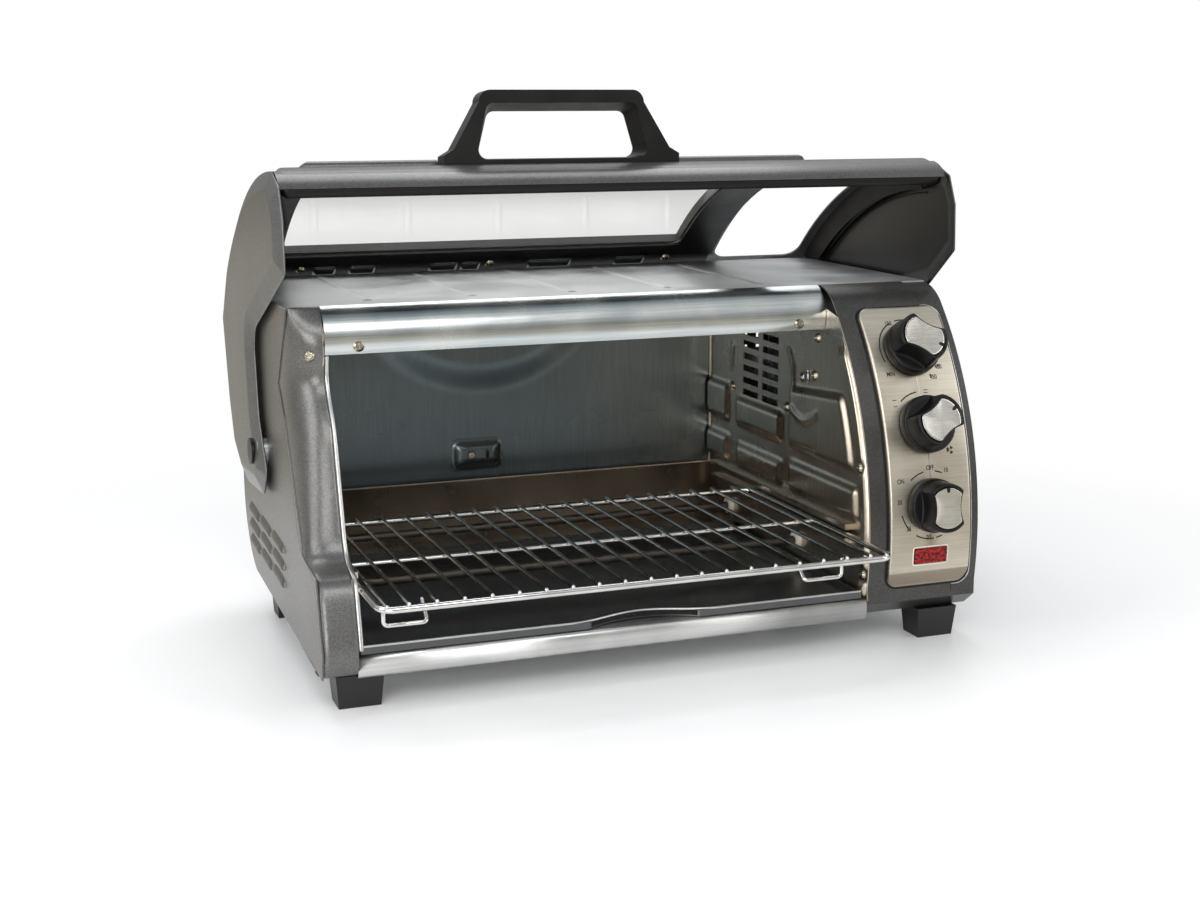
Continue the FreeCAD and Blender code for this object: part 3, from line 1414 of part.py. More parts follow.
def wire_rack():
    """Chromed wires, drawn with the door closed and placed drawn out."""
    body = new_body("wire_rack")
    front, rear = "rack_front_home", "rack_front_home + rack_depth"
    across = "rack_left + rack_right"
    for y in (front, rear):
        rod(body, "Additive", ("-rack_left - rack_bar_radius", y, "rack_level", FACING_RIGHT),
            "rack_bar_radius", across + " + 2 * rack_bar_radius")
    middle = "rack_front_home + rack_depth / 2"
    spot = ("-rack_left", middle, "rack_level", FACING_RIGHT)
    rod(body, "Additive", spot, "rack_wire_radius + 0.4", across)
    for x in ("-rack_left", "rack_right"):
        rod(body, "Additive", (x, rear, "rack_level", FACING_FRONT), "rack_bar_radius - 0.3", "rack_depth")
    height = "rack_level + rack_bar_radius + rack_wire_radius - 0.8"
    pitch = "(%s) / (rack_wires + 1)" % across
    first = ("-rack_left + " + pitch, rear + " + 1", height, FACING_FRONT)
    wire = rod(body, "Additive", first, "rack_wire_radius", "rack_depth + 2")
    repeated(body, wire, "X_Axis", int(value("rack_wires")), "(rack_wires - 1) * " + pitch)
    low, hook_y = "rack_level - hook_drop", front + " + hook_back"
    left, right = "-rack_left + hook_left", "rack_right - hook_right - hook_width"
    for near_leg, far_leg in (
        (left, left + " + hook_width"),
        (right + " + hook_width", right),
    ):
        rod(body, "Additive", (near_leg, hook_y, low, FACING_UP), "hook_radius",
            "hook_drop + hook_hold_up")
        rod(body, "Additive", (far_leg, hook_y, low, turned("x", "-hook_lean")), "hook_radius",
            "(hook_drop + hook_hold_up) / cos(hook_lean)")
        for leg in (near_leg, far_leg):
            spot = (leg, front + " + hook_hold", "rack_level + hook_hold_up", FACING_FRONT)
            rod(body, "Additive", spot, "hook_radius + 0.1", "hook_hold")
    for x in (left, right):
        spot = (x + " - rack_wire_radius", hook_y, low, FACING_RIGHT)
        rod(body, "Additive", spot, "hook_radius + 0.1", "hook_width + 2 * rack_wire_radius")
    place(body, shifted("0", "-frame_shift - rack_travel", "0"))


def crumb_tray():
    """A flat dark tray with a low rim, a finger notch in its front."""
    body = new_body("crumb_tray")
    left, right = "-cavity_left + tray_side_gap", "cavity_right - tray_side_gap"
    floor = "sill_top + free_gap"
    rear = "cavity_heel - tray_rear_gap"
    block(body, "Additive", (left, "tray_front", floor), (right, rear, floor + " + tray_rim"))
    low = (left + " + tray_edge", "tray_front + tray_edge", floor + " + tray_sheet")
    high = (right + " - tray_edge", rear + " - tray_edge", floor + " + tray_rim + 1")
    block(body, "Subtractive", low, high)
    rounding = "(notch_half ^ 2 + notch_depth ^ 2) / (2 * notch_depth)"
    notch = [
        ("notch_x - notch_half", "tray_front - 1"),
        ("notch_x + notch_half", "tray_front - 1"),
        ("notch_x + notch_half", "tray_front", rounding, "left"),
        ("notch_x - notch_half", "tray_front"),
    ]
    pocket(body, [notch], floor + " - 1", floor + " + tray_rim + 1", "XY_Plane")
    place(body)


# Door


def degrees(length):
    """The angle that a length takes on the door's curve."""
    return "57.2958 * (%s) / skin_radius" % length


def door_panel():
    """The door's curved skin with its lip, a window and an opening for the knobs."""
    body = new_body("door_panel")
    outline = [
        skin("0", "skin_high") + ("skin_radius", "left"),
        skin("0", "skin_low") + ("lip_radius", "left"),
        corner("lip_low"),
        corner("lip_tail"),
        moved(corner("lip_tail"), "-skin_sheet", "0"),
        corner("lip_nook") + ("lip_radius - skin_sheet", "right"),
        skin("-skin_sheet", "skin_low") + ("skin_radius - skin_sheet", "right"),
        skin("-skin_sheet", "skin_high"),
    ]
    pad(body, [outline], "-skin_half", "skin_half")
    window = skin_band("-skin_sheet - 2", "2", "window_low", "window_high")
    pocket(body, [window], "-window_left", "window_right")
    port = skin_band("-skin_sheet - 2", "2", "port_low", "port_high")
    pocket(body, [port], "port_left", "port_right")
    ends = [value(x) for x in ("-window_left", "window_right", "port_left", "port_right")]
    round_edges(
        body,
        "window_corner",
        lambda edge: edge.Length < value("skin_sheet") + 0.1
        and min(abs(edge.CenterOfMass.x - x) for x in ends) < 0.05
        and not straight(edge, "x"),
    )
    place(body, DOOR)


def arm_outline(side):
    """An arm seen from its side. The right one swells near its foot, where the panel is wider."""
    swell = [corner("arm_bulge")] if side > 0 else []
    return [
        corner("arm_toe"),
        skin("0", "skin_low") + ("skin_radius", "right"),
        skin("0", "arm_rear_angle"),
        corner("arm_crown"),
        corner("arm_back"),
        corner("arm_shoulder"),
        corner("arm_elbow"),
        corner("arm_heel"),
        corner("arm_root"),
        corner("arm_notch"),
        corner("arm_nook"),
    ] + swell + [
        corner("arm_shin"),
        corner("arm_sole"),
    ]


def inner_sketch(body, name, loop, distance, offset):
    sketch = body.newObject("Sketcher::SketchObject", name)
    sketch.AttachmentSupport = [(origin_plane(body, "YZ_Plane"), "")]
    sketch.MapMode = "FlatFace"
    sketch.setExpression("AttachmentOffset.Base.z", bound(offset))
    add_inner_outline(sketch, loop, distance)
    return sketch


def door_arm(label, side):
    """A stamped side plate of the door: a flat field, sloped borders, hollow inside."""
    body = new_body(label)
    sign = "" if side > 0 else "-"
    loop = arm_outline(side)
    rim = new_sketch(body, label + "_rim", "YZ_Plane", [loop], sign + "skin_half")
    field = inner_sketch(body, label + "_field", loop, "arm_bevel", sign + "arm_face")
    shell = body.newObject("PartDesign::AdditiveLoft", label + "_shell")
    shell.Profile = rim
    shell.Sections = [field]
    shell.Ruled = True
    slope = "arm_bevel * (arm_face - skin_half - arm_wall) / (arm_face - skin_half)"
    mouth = inner_sketch(body, label + "_mouth", loop, "arm_rim", sign + "skin_half")
    bottom_offset = sign + "(arm_face - arm_wall)"
    bottom = inner_sketch(body, label + "_bottom", loop, "arm_rim + " + slope, bottom_offset)
    hollow = body.newObject("PartDesign::SubtractiveLoft", label + "_hollow")
    hollow.Profile = mouth
    hollow.Sections = [bottom]
    hollow.Ruled = True
    out = FACING_RIGHT if side > 0 else FACING_LEFT
    spot = (sign + "skin_half", "pivot_y", "pivot_z", out)
    rod(body, "Additive", spot, "boss_radius", "arm_face - skin_half - 0.2")
    rod(body, "Subtractive", (sign + "(skin_half - 1)", "pivot_y", "pivot_z", out), "pin_radius", "12")
    place(body, DOOR)


def door_arms():
    door_arm("door_arm_left", -1)
    door_arm("door_arm_right", 1)


def door_glass():
    body = new_body("door_glass")
    lap = degrees("glass_lap")
    pane = skin_band("-skin_sheet - glass_thickness", "-skin_sheet",
                     "window_low - " + lap, "window_high + " + lap)
    pad(body, [pane], "-window_left - glass_lap", "window_right + glass_lap")
    place(body, DOOR)


def door_inner_frame():
    """A black frame behind the glass, stepped up to the skin at its rear edge."""
    body = new_body("door_inner_frame")
    back = "-skin_sheet - glass_thickness"
    lower, upper = back + " - inner_sheet", "-skin_sheet - inner_sheet"
    lap = degrees("inner_sheet")
    outline = [
        skin(lower, "frame_low") + ("skin_radius + (%s)" % lower, "right"),
        skin(lower, "frame_jog + " + lap),
        skin(upper, "frame_jog + " + lap) + ("skin_radius + (%s)" % upper, "right"),
        skin(upper, "frame_high"),
        skin("-skin_sheet", "frame_high") + ("skin_radius - skin_sheet", "left"),
        skin("-skin_sheet", "frame_jog"),
        skin(back, "frame_jog") + ("skin_radius + (%s)" % back, "left"),
        skin(back, "frame_low"),
    ]
    pad(body, [outline], "-flange_face", "cavity_right - 1")
    inset = degrees("bezel_inset")
    window = skin_band(lower + " - 2", back + " + 2", "window_low + " + inset,
                       "window_high - " + inset)
    pocket(body, [window], "-window_left + bezel_inset", "window_right - bezel_inset")
    flange = skin_band("-inner_flange", "-skin_sheet", "frame_low", "frame_high")
    pad(body, [flange], "-flange_face", "-flange_face + inner_sheet")
    drill(body, strip_screw_spots())
    place(body, DOOR)


def door_side_strip():
    """The black strip inside the right arm, along the opening for the knobs."""
    body = new_body("door_side_strip")
    strip = skin_band("-inner_flange", "-skin_sheet", "port_low", "port_high")
    pad(body, [strip], "flange_face - inner_sheet", "flange_face")
    place(body, DOOR)


def strip_screw_spots():
    spots = []
    y, z = skin("-skin_sheet - inner_sheet - head_gap", "strip_screw_angle")
    for number in ("-1", "0", "1"):
        x = "strip_screw_x + %s * strip_screw_pitch" % number
        spots.append((x, y, z, turned("x", "270 - strip_screw_angle")))
    return spots


def window_bezel():
    """The raised surround on the door's skin."""
    body = new_body("window_bezel")
    pad(body, [skin_band("0", "bezel_rise", "bezel_low", "bezel_high")], "-bezel_left", "bezel_right")
    inset = degrees("bezel_inset")
    window = skin_band("-2", "bezel_rise + 2", "window_low + " + inset, "window_high - " + inset)
    pocket(body, [window], "-window_left + bezel_inset", "window_right - bezel_inset")
    ends = [-value("bezel_left"), value("bezel_right")]
    low_y, low_z = (value(text) for text in skin("bezel_rise", "bezel_low"))
    high_y, high_z = (value(text) for text in skin("bezel_rise", "bezel_high"))

    def outer_border(edge):
        middle = edge.CenterOfMass
        at_end = min(abs(middle.x - x) for x in ends) < 0.05
        on_face = abs(edge.Length - math.radians(
            value("(bezel_high - bezel_low)")) * value("skin_radius + bezel_rise")) < 1
        at_front = abs(middle.y - low_y) < 0.05 and abs(middle.z - low_z) < 0.05
        at_rear = abs(middle.y - high_y) < 0.05 and abs(middle.z - high_z) < 0.05
        return (at_end and on_face) or (straight(edge, "x") and (at_front or at_rear))

    round_edges(body, "bezel_round", outer_border)
    place(body, DOOR)


def handle_slot(body, name, offset, inset):
    """The finger opening's outline, drawn inwards by an inset."""
    top = "handle_height - handle_grip - (%s)" % inset
    low, high = "(handle_slot_low - (%s))" % inset, "(handle_slot_high - (%s))" % inset
    base = "handle_base + (%s) / 4" % inset
    loop = [("-" + low, base), (low, base), (high, top), ("-" + high, top)]
    return new_sketch(body, name, "XZ_Plane", [loop], offset)


def door_handle():
    """A flat loop that stands on the door, wider at its feet."""
    body = new_body("door_handle")
    outer = [
        ("-handle_foot", "0"),
        ("handle_foot", "0"),
        ("handle_foot", "foot_step"),
        ("handle_ankle", "1.5 * foot_step"),
        ("handle_head", "handle_height - handle_corner", "handle_corner", "left"),
        ("handle_head - handle_corner", "handle_height"),
        ("-handle_head + handle_corner", "handle_height", "handle_corner", "left"),
        ("-handle_head", "handle_height - handle_corner"),
        ("-handle_ankle", "1.5 * foot_step"),
        ("-handle_foot", "foot_step"),
    ]
    pad(body, [outer], "-handle_depth / 2", "handle_depth / 2", "XZ_Plane")
    front = handle_slot(body, "handle_slot_front", "handle_depth / 2 + 0.01", "0")
    rear = handle_slot(body, "handle_slot_rear", "-handle_depth / 2 - 0.01", "handle_taper")
    slot = body.newObject("PartDesign::SubtractiveLoft", "handle_slot")
    slot.Profile = front
    slot.Sections = [rear]
    slot.Ruled = True
    place(body)
    doc.recompute()
    reach = value("handle_depth")
    round_edges(
        body,
        "handle_slot_corner",
        lambda edge: reach + 0.1 < edge.Length < 2 * reach
        and 1 < edge.CenterOfMass.z < value("handle_height") - 1
        and abs(edge.tangentAt(edge.FirstParameter).y) > 0.7
        and abs(edge.CenterOfMass.x) < value("handle_slot_low") - 1,
    )
    y, z = skin("0", "handle_angle")
    spot = "placement(vector(handle_x; %s; %s); %s)" % (y, z, facing("handle_angle"))
    place(body, DOOR + " * " + spot)


def handle_screw_spots():
    y, z = skin("-skin_sheet - head_gap", "handle_angle")
    return [
        ("handle_x + %s" % shift, y, z, turned("x", "270 - handle_angle"))
        for shift in ("-handle_foot + handle_screw_inset", "handle_foot - handle_screw_inset")
    ]


def hinge_spots(x):
    """The two places on the door's axis at a distance from the centre plane, facing out."""
    return [
        ("-(%s)" % x, "pivot_y", "pivot_z", FACING_LEFT),
        (x, "pivot_y", "pivot_z", FACING_RIGHT),
    ]


def collar_master(label, radius, bore, length):
    body = new_master(label)
    rod(body, "Additive", ("0", "0", "0", FACING_UP), radius, length)
    if bore:
        rod(body, "Subtractive", ("0", "0", "-1", FACING_UP), bore, "(%s) + 2" % length)
    return body


def hinges():
    """Plates behind the side panels, bushes, pins, clips and caps, one of each a side."""
    plate = new_master("hinge_plate_master")
    half = "bracket_size / 2"
    block(plate, "Additive", ("-" + half, "-" + half, "0"), (half, half, "bracket_sheet"))
    bore = "pin_radius + running_gap"
    rod(plate, "Subtractive", ("0", "0", "-1", FACING_UP), bore, "bracket_sheet + 2")
    copies("hinge_plates", each(plate, hinge_spots("body_half - panel_sheet - bracket_sheet")))

    width = "skin_half - free_gap - body_half"
    bush = collar_master("hinge_bush_master", "bush_radius", bore, width)
    copies("hinge_bushes", each(bush, hinge_spots("body_half")))
    pin = collar_master("hinge_pin_master", "pin_radius", None, "arm_face - pin_inner")
    copies("hinge_pins", each(pin, hinge_spots("pin_inner")))
    clip = collar_master("hinge_clip_master", "pin_radius + clip_width", "pin_radius",
                         "clip_sheet")
    copies("hinge_clips", each(clip, hinge_spots("pin_inner + clip_place")))
    cap = collar_master("hinge_cap_master", "cap_radius", None, "cap_height")
    copies("hinge_caps", each(cap, hinge_spots("arm_face")))


# Fasteners and collars


def screw_master(label, length):
    """A pan-head screw, its head above the local XY plane."""
    body = new_master(label)
    outline = [
        ("0", "-" + length),
        ("screw_shank", "-" + length),
        ("screw_shank", "0"),
        ("screw_head", "0"),
        ("screw_head", "screw_edge"),
        ("screw_head - screw_dome", "screw_rise"),
        ("0", "screw_rise"),
    ]
    profile = new_sketch(body, label + "_profile", "XZ_Plane", [outline])
    turn = body.newObject("PartDesign::Revolution", label + "_turned")
    turn.Profile = profile
    turn.ReferenceAxis = (profile, ["V_Axis"])
    turn.Angle = 360
    floor = "screw_rise - cross_depth"
    for half_x, half_y in (("cross_half", "cross_slot"), ("cross_slot", "cross_half")):
        low = ("-" + half_x, "-" + half_y, floor)
        block(body, "Subtractive", low, (half_x, half_y, "screw_rise + 1"))
    return body


def fasteners():
    screw = screw_master("screw_master", "screw_length")
    short_screw = screw_master("short_screw_master", "strip_screw_length")
    header = ("header_front_y", "header_front_z", facing("header_screw_tilt"))
    pillar = ("pillar_screw_y", "pillar_screw_z", facing("pillar_screw_tilt"))
    casing = [
        ("header_screw_left",) + header,
        ("header_screw_right",) + header,
        ("pillar_screw_x",) + pillar,
    ]
    copies("casing_screws", each(screw, casing + back_screw_spots()))
    copies("cavity_wall_screws", each(screw, wall_screw_spots()))
    copies("door_strip_screws", each(short_screw, strip_screw_spots()), DOOR)
    copies("handle_screws", each(screw, handle_screw_spots()), DOOR)


def element_insulators():
    """Ceramic collars where the elements pass through the right wall."""
    collar = collar_master("insulator_master", "insulator_radius", "element_radius", "insulator_length")
    spots = []
    for leg in ("element_front", "element_back"):
        for level in ("element_upper", "element_lower"):
            spots.append(("cavity_right - insulator_length / 3", leg, level, FACING_RIGHT))
    copies("element_insulators", each(collar, spots))


PIECES = (
    left_side_panel, right_side_panel, left_pillar, control_frame, control_plate, top_cover,
    back_panel, cord_gland, bottom_panel, header_bar, sill_bar,
    cavity_left_wall, cavity_right_wall, cavity_back_wall, cavity_ceiling, cavity_floor,
    upper_heating_element, lower_heating_element, element_insulators,
    pilot_lens, pilot_lamp, knobs, thermostat, function_switch, toast_timer, timer_bell,
    terminal_block, fan_wheel, fan_shaft, fan_motor, fan_bracket, feet,
    wire_rack, crumb_tray,
    door_panel, door_arms, door_glass, door_inner_frame, door_side_strip, window_bezel,
    door_handle, hinges, fasteners,
)

for build in PIECES:
    build()
doc.recompute()

for thing in doc.Objects:
    if "Invalid" in thing.State or "Error" in thing.State:
        raise RuntimeError("%s did not build: %s" % (thing.Name, thing.State))
for label, body in parts.items():
    if body.Shape.isNull() or not body.Shape.isValid() or not body.Shape.Solids:
        raise RuntimeError("%s has no valid solid" % label)

os.makedirs("parts", exist_ok=True)
for label, body in parts.items():
    body.Shape.exportStep(os.path.join("parts", label + ".step"))
print(len(parts), "nodes written")
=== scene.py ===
# %% [markdown]
# # A toaster oven with a roll-top door
# The oven stands open: its curved door has rolled back over the top and drawn the wire rack out.
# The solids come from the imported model. This script gives them their real finishes, makes again
# the pieces whose form is finer than a plain solid, and sets up a studio like that of a catalogue.
# Sizes are written in millimetres, because that is how an oven's drawing gives them, and are
# turned to metres only when a mesh is made.

# %% Load the solids
import math

import bpy
import numpy as np
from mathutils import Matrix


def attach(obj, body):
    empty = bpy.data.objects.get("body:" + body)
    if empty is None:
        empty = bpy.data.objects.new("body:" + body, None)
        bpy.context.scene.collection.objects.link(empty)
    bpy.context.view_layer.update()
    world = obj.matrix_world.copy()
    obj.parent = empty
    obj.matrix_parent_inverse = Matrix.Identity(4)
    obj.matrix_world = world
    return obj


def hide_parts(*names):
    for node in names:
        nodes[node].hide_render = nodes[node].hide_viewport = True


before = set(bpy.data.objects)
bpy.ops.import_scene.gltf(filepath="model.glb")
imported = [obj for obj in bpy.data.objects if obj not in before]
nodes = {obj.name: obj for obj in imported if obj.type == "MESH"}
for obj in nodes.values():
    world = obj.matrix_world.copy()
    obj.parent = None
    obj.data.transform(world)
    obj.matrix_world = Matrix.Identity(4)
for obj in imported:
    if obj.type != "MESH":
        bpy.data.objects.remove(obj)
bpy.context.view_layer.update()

scene = bpy.context.scene

# %% [markdown]
# ## The oven's main curves
# Two circles rule the shape. The control panel and the front of the case follow one, seen from the
# side. The door's skin follows a larger one, drawn closed and then turned back by 84 degrees about
# the hinge. A point on either is given by its distance from the circle and its angle.

# %% Sizes of the curves, in mm
# Depths are drawn from the front of the side view. SHIFT takes them to the frame's own middle.
SHIFT = 118.93
PANEL_Y, PANEL_Z, PANEL_RADIUS = 235.6, 71.3, 244.2
SKIN_Y, SKIN_Z, SKIN_RADIUS = 239.9, 32.5, 279.6
HINGE = (165.0 - SHIFT, 135.0)
SWING = math.radians(84.0)
MM = 0.001
print("radius of the panel and of the door's skin in mm:", PANEL_RADIUS, SKIN_RADIUS)


# %% Points on the curves
def on_circle(x, centre_y, centre_z, reach, angle):
    """Points of a circle seen from the side: centre + reach at an angle above the front. Arrays
    of x, reach and angle in degrees give an array of points."""
    turn = np.radians(angle)
    y = centre_y - SHIFT - reach * np.cos(turn)
    z = centre_z + reach * np.sin(turn)
    return np.stack(np.broadcast_arrays(x, y, z), -1).astype(float)


def on_panel(x, lift, angle):
    """Points at a lift above the control panel's circle."""
    return on_circle(x, PANEL_Y, PANEL_Z, PANEL_RADIUS + lift, angle)


def opened(points):
    """The same points once the door has turned back about its hinge: each keeps its distance
    from the hinge's line, and its angle about it grows by the swing."""
    y, z = points[..., 1] - HINGE[0], points[..., 2] - HINGE[1]
    turned_y = HINGE[0] + y * math.cos(SWING) + z * math.sin(SWING)
    turned_z = HINGE[1] - y * math.sin(SWING) + z * math.cos(SWING)
    return np.stack([points[..., 0], turned_y, turned_z], -1)


def on_door(x, lift, angle):
    """Points at a lift above the open door's skin. The angle is that of the closed door."""
    return opened(on_circle(x, SKIN_Y, SKIN_Z, SKIN_RADIUS + lift, angle))


print("lip of the open door at", on_door(0.0, 0.0, 7.0).round(1))

# %% [markdown]
# ## From arrays to meshes
# A surface here is a grid of points. Neighbours in the grid are joined by four-cornered faces, and
# a grid that closes on itself wraps round. One function writes the arrays into a mesh, gives it a
# finish, and lets it ride on the body that carries it.


# %% Faces of a grid, of a stack of rings, and turned over
def grid_faces(rows, columns, wrap_rows=False, wrap_columns=False):
    """Four corners for each cell: (i, j), (i, j+1), (i+1, j+1), (i+1, j), with wrapping."""
    i = np.arange(rows if wrap_rows else rows - 1)[:, None]
    j = np.arange(columns if wrap_columns else columns - 1)[None, :]
    below, right = (i + 1) % rows, (j + 1) % columns
    corners = [i * columns + j, i * columns + right, below * columns + right, below * columns + j]
    return np.stack(np.broadcast_arrays(*corners), -1).reshape(-1, 4)


def stack_of_rings(rings):
    """Joins rings of equal count by a grid that wraps round, and closes both ends with one face
    each. Gives the points and the faces."""
    points = np.stack(rings)
    count = points.shape[1]
    faces = grid_faces(len(points), count, False, True).tolist()
    last = (len(points) - 1) * count
    faces += [list(range(count))[::-1], [last + k for k in range(count)]]
    return points, faces


def flipped(faces):
    """The same faces with their corners in the other order, so that they look the other way."""
    return [face[::-1] for face in faces]


print("faces round three rings of eight points:", len(grid_faces(3, 8, False, True)))


# %% A mesh on its body, and shapes joined to one
def new_piece(name, points, faces, finish, body, smooth=True):
    """A mesh from points in mm and lists of corners, riding on a body."""
    mesh = bpy.data.meshes.new(name)
    flat = (np.asarray(points, float).reshape(-1, 3) * MM).tolist()
    mesh.from_pydata(flat, [], [list(map(int, face)) for face in faces])
    mesh.update()
    mesh.validate()
    mesh.shade_smooth() if smooth else mesh.shade_flat()
    piece = bpy.data.objects.new(name, mesh)
    scene.collection.objects.link(piece)
    mesh.materials.append(finish)
    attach(piece, body)
    print(name, len(mesh.polygons), "faces")
    return piece


def joined(shapes):
    """Several (points, faces) as one: each one's corners are counted on from the last."""
    points, faces, count = [], [], 0
    for some_points, some_faces in shapes:
        some_points = np.asarray(some_points, float).reshape(-1, 3)
        points.append(some_points)
        faces += [[int(k) + count for k in face] for face in some_faces]
        count += len(some_points)
    return np.concatenate(points), faces


# %% [markdown]
# ## Finishes
# Colours are picked as sRGB hex values, as on a paint card, and the shader needs them linear. Each
# finish starts from one shader whose plain numbers are set on its own sockets, and its pattern is
# laid in object space, so that it keeps its real size on every piece.


# %% Colour and node helpers
def linear(card):
    """An sRGB hex colour as linear numbers: c / 12.92 below 0.04045, else ((c + 0.055) / 1.055)
    to the power 2.4."""
    raw = [int(card[k:k + 2], 16) / 255 for k in (1, 3, 5)]
    return [c / 12.92 if c < 0.04045 else ((c + 0.055) / 1.055) ** 2.4 for c in raw] + [1.0]


def put(tree, kind, inputs=None, **settings):
    """Adds one node: settings are its properties, inputs are numbers, colours or links."""
    made = tree.nodes.new("ShaderNode" + kind)
    for word, value in settings.items():
        setattr(made, word, value)
    for socket, value in (inputs or {}).items():
        if isinstance(value, bpy.types.NodeSocket):
            tree.links.new(value, made.inputs[socket])
        else:
            made.inputs[socket].default_value = value
    return made


def new_finish(name, colour, **sockets):
    """A material with one principled shader. Returns it, its tree, the shader and the place of
    each point in object space. Words name the shader's sockets, with _ for a space."""
    finish = bpy.data.materials.new(name)
    finish.use_nodes = True
    tree = finish.node_tree
    shader = tree.nodes["Principled BSDF"]
    shader.inputs["Base Color"].default_value = linear(colour)
    finish.diffuse_color = linear(colour)
    for word, value in sockets.items():
        shader.inputs[word.replace("_", " ")].default_value = value
    place = tree.nodes.new("ShaderNodeTexCoord").outputs["Object"]
    return finish, tree, shader, place


def per_mm(size):
    """A pattern's scale for features of that size in mm: a texture's unit is one metre."""
    return 1000.0 / size


print("middle grey as linear:", [round(value, 3) for value in linear("#808080")[:3]])


# %% [markdown]
# ### Metallic case paint
# The case is steel sprayed with a gunmetal paint: fine aluminium flakes lie at many angles in a
# clear binder. Real flakes are near 0.05 mm, too fine to show, so they are drawn at 0.7 mm as the
# grouped sparkle that the eye sees. Under the gloss lies the soft ripple of sprayed paint. The
# arms are painted on their outside only, and the bare primer in their hollow is nearly black.

# %% Flake paint
FLAKE_SIZE, SPRAY_CLOUD, SPRAY_RIPPLE = 0.7, 60, 1.6
FLAKE_METAL = 0.55


def flake_paint(name, dark, light, roughness, coat):
    """Each flake has its own random brightness. It is added to a broad cloud, and the sum picks
    the tint between the dark and the light card."""
    finish, tree, shader, place = new_finish(
        name, light, Metallic=FLAKE_METAL, Roughness=roughness, Coat_Weight=coat,
        Coat_Roughness=0.25)
    flakes = put(tree, "TexVoronoi", {"Vector": place, "Scale": per_mm(FLAKE_SIZE)})
    spark = put(tree, "SeparateColor", {0: flakes.outputs["Color"]})
    cloud = put(tree, "TexNoise", {"Vector": place, "Scale": per_mm(SPRAY_CLOUD), "Detail": 3.0})
    mixed = put(tree, "Math", {0: spark.outputs[0], 1: cloud.outputs["Fac"]}, operation="ADD")
    share = put(tree, "MapRange", {0: mixed.outputs[0], 1: 0.0, 2: 1.7})
    tint = put(tree, "Mix", {0: share.outputs[0], 6: linear(dark), 7: linear(light)},
               data_type="RGBA")
    tree.links.new(tint.outputs[2], shader.inputs["Base Color"])
    rough = put(tree, "MapRange", {0: spark.outputs[1], 3: roughness - 0.04, 4: roughness + 0.05})
    tree.links.new(rough.outputs[0], shader.inputs["Roughness"])
    ripple = put(tree, "TexNoise", {"Vector": place, "Scale": per_mm(SPRAY_RIPPLE),
                                    "Detail": 2.0})
    bump = put(tree, "Bump", {"Height": ripple.outputs["Fac"], "Strength": 0.04,
                              "Distance": 0.0002})
    tree.links.new(bump.outputs[0], shader.inputs["Normal"])
    return finish


def dark_inside(finish, sign):
    """Turns a pressed sheet black where it faces the oven's middle: its inside has a normal that
    points against the side's own sign along X."""
    tree = finish.node_tree
    shader = tree.nodes["Principled BSDF"]
    facing = put(tree, "SeparateXYZ", {0: tree.nodes["Texture Coordinate"].outputs["Normal"]})
    inside = put(tree, "Math", {0: facing.outputs[0], 1: -sign}, operation="MULTIPLY")
    mask = put(tree, "Math", {0: inside.outputs[0], 1: 0.02}, operation="GREATER_THAN")
    tint = shader.inputs["Base Color"].links[0].from_socket
    shade = put(tree, "Mix", {0: mask.outputs[0], 6: tint, 7: linear("#0b0a09")},
                data_type="RGBA")
    tree.links.new(shade.outputs[2], shader.inputs["Base Color"])
    metal = put(tree, "MapRange", {0: mask.outputs[0], 3: FLAKE_METAL, 4: 0.0})
    tree.links.new(metal.outputs[0], shader.inputs["Metallic"])
    return finish


print("flakes on 10 mm of paint:", round(10 / FLAKE_SIZE))

# %% Paints of the case and of the door
case_paint = flake_paint("metallic_case_paint", "#464441", "#6a6762", 0.38, 0.25)
frame_paint = flake_paint("dark_metallic_paint", "#292827", "#4a4947", 0.36, 0.25)
pillar_paint = flake_paint("satin_pillar_paint", "#454544", "#6e6d6b", 0.33, 0.35)
lip_paint = flake_paint("door_skin_paint", "#3c3b3b", "#605f5e", 0.32, 0.4)
left_arm_paint, right_arm_paint = (
    dark_inside(flake_paint(name + "_arm_paint", "#4a4a4a", "#6f6f6e", 0.37, 0.25), sign)
    for name, sign in (("left", -1.0), ("right", 1.0)))
print("paints:", case_paint.name, frame_paint.name, pillar_paint.name, lip_paint.name)

# %% [markdown]
# ### Aluminised steel and stainless steel
# The top, the header and the cavity are steel dipped in aluminium: a bright grey skin, rolled along
# one direction, with faint clouds where the coating froze. The control plate is stainless steel
# brushed with a fine belt. Rolling and brushing are both long thin streaks: noise that is drawn
# out by scaling one direction down. Real streaks are near 0.1 mm across, too fine to show, and
# are drawn 0.6 to 1.4 mm across.


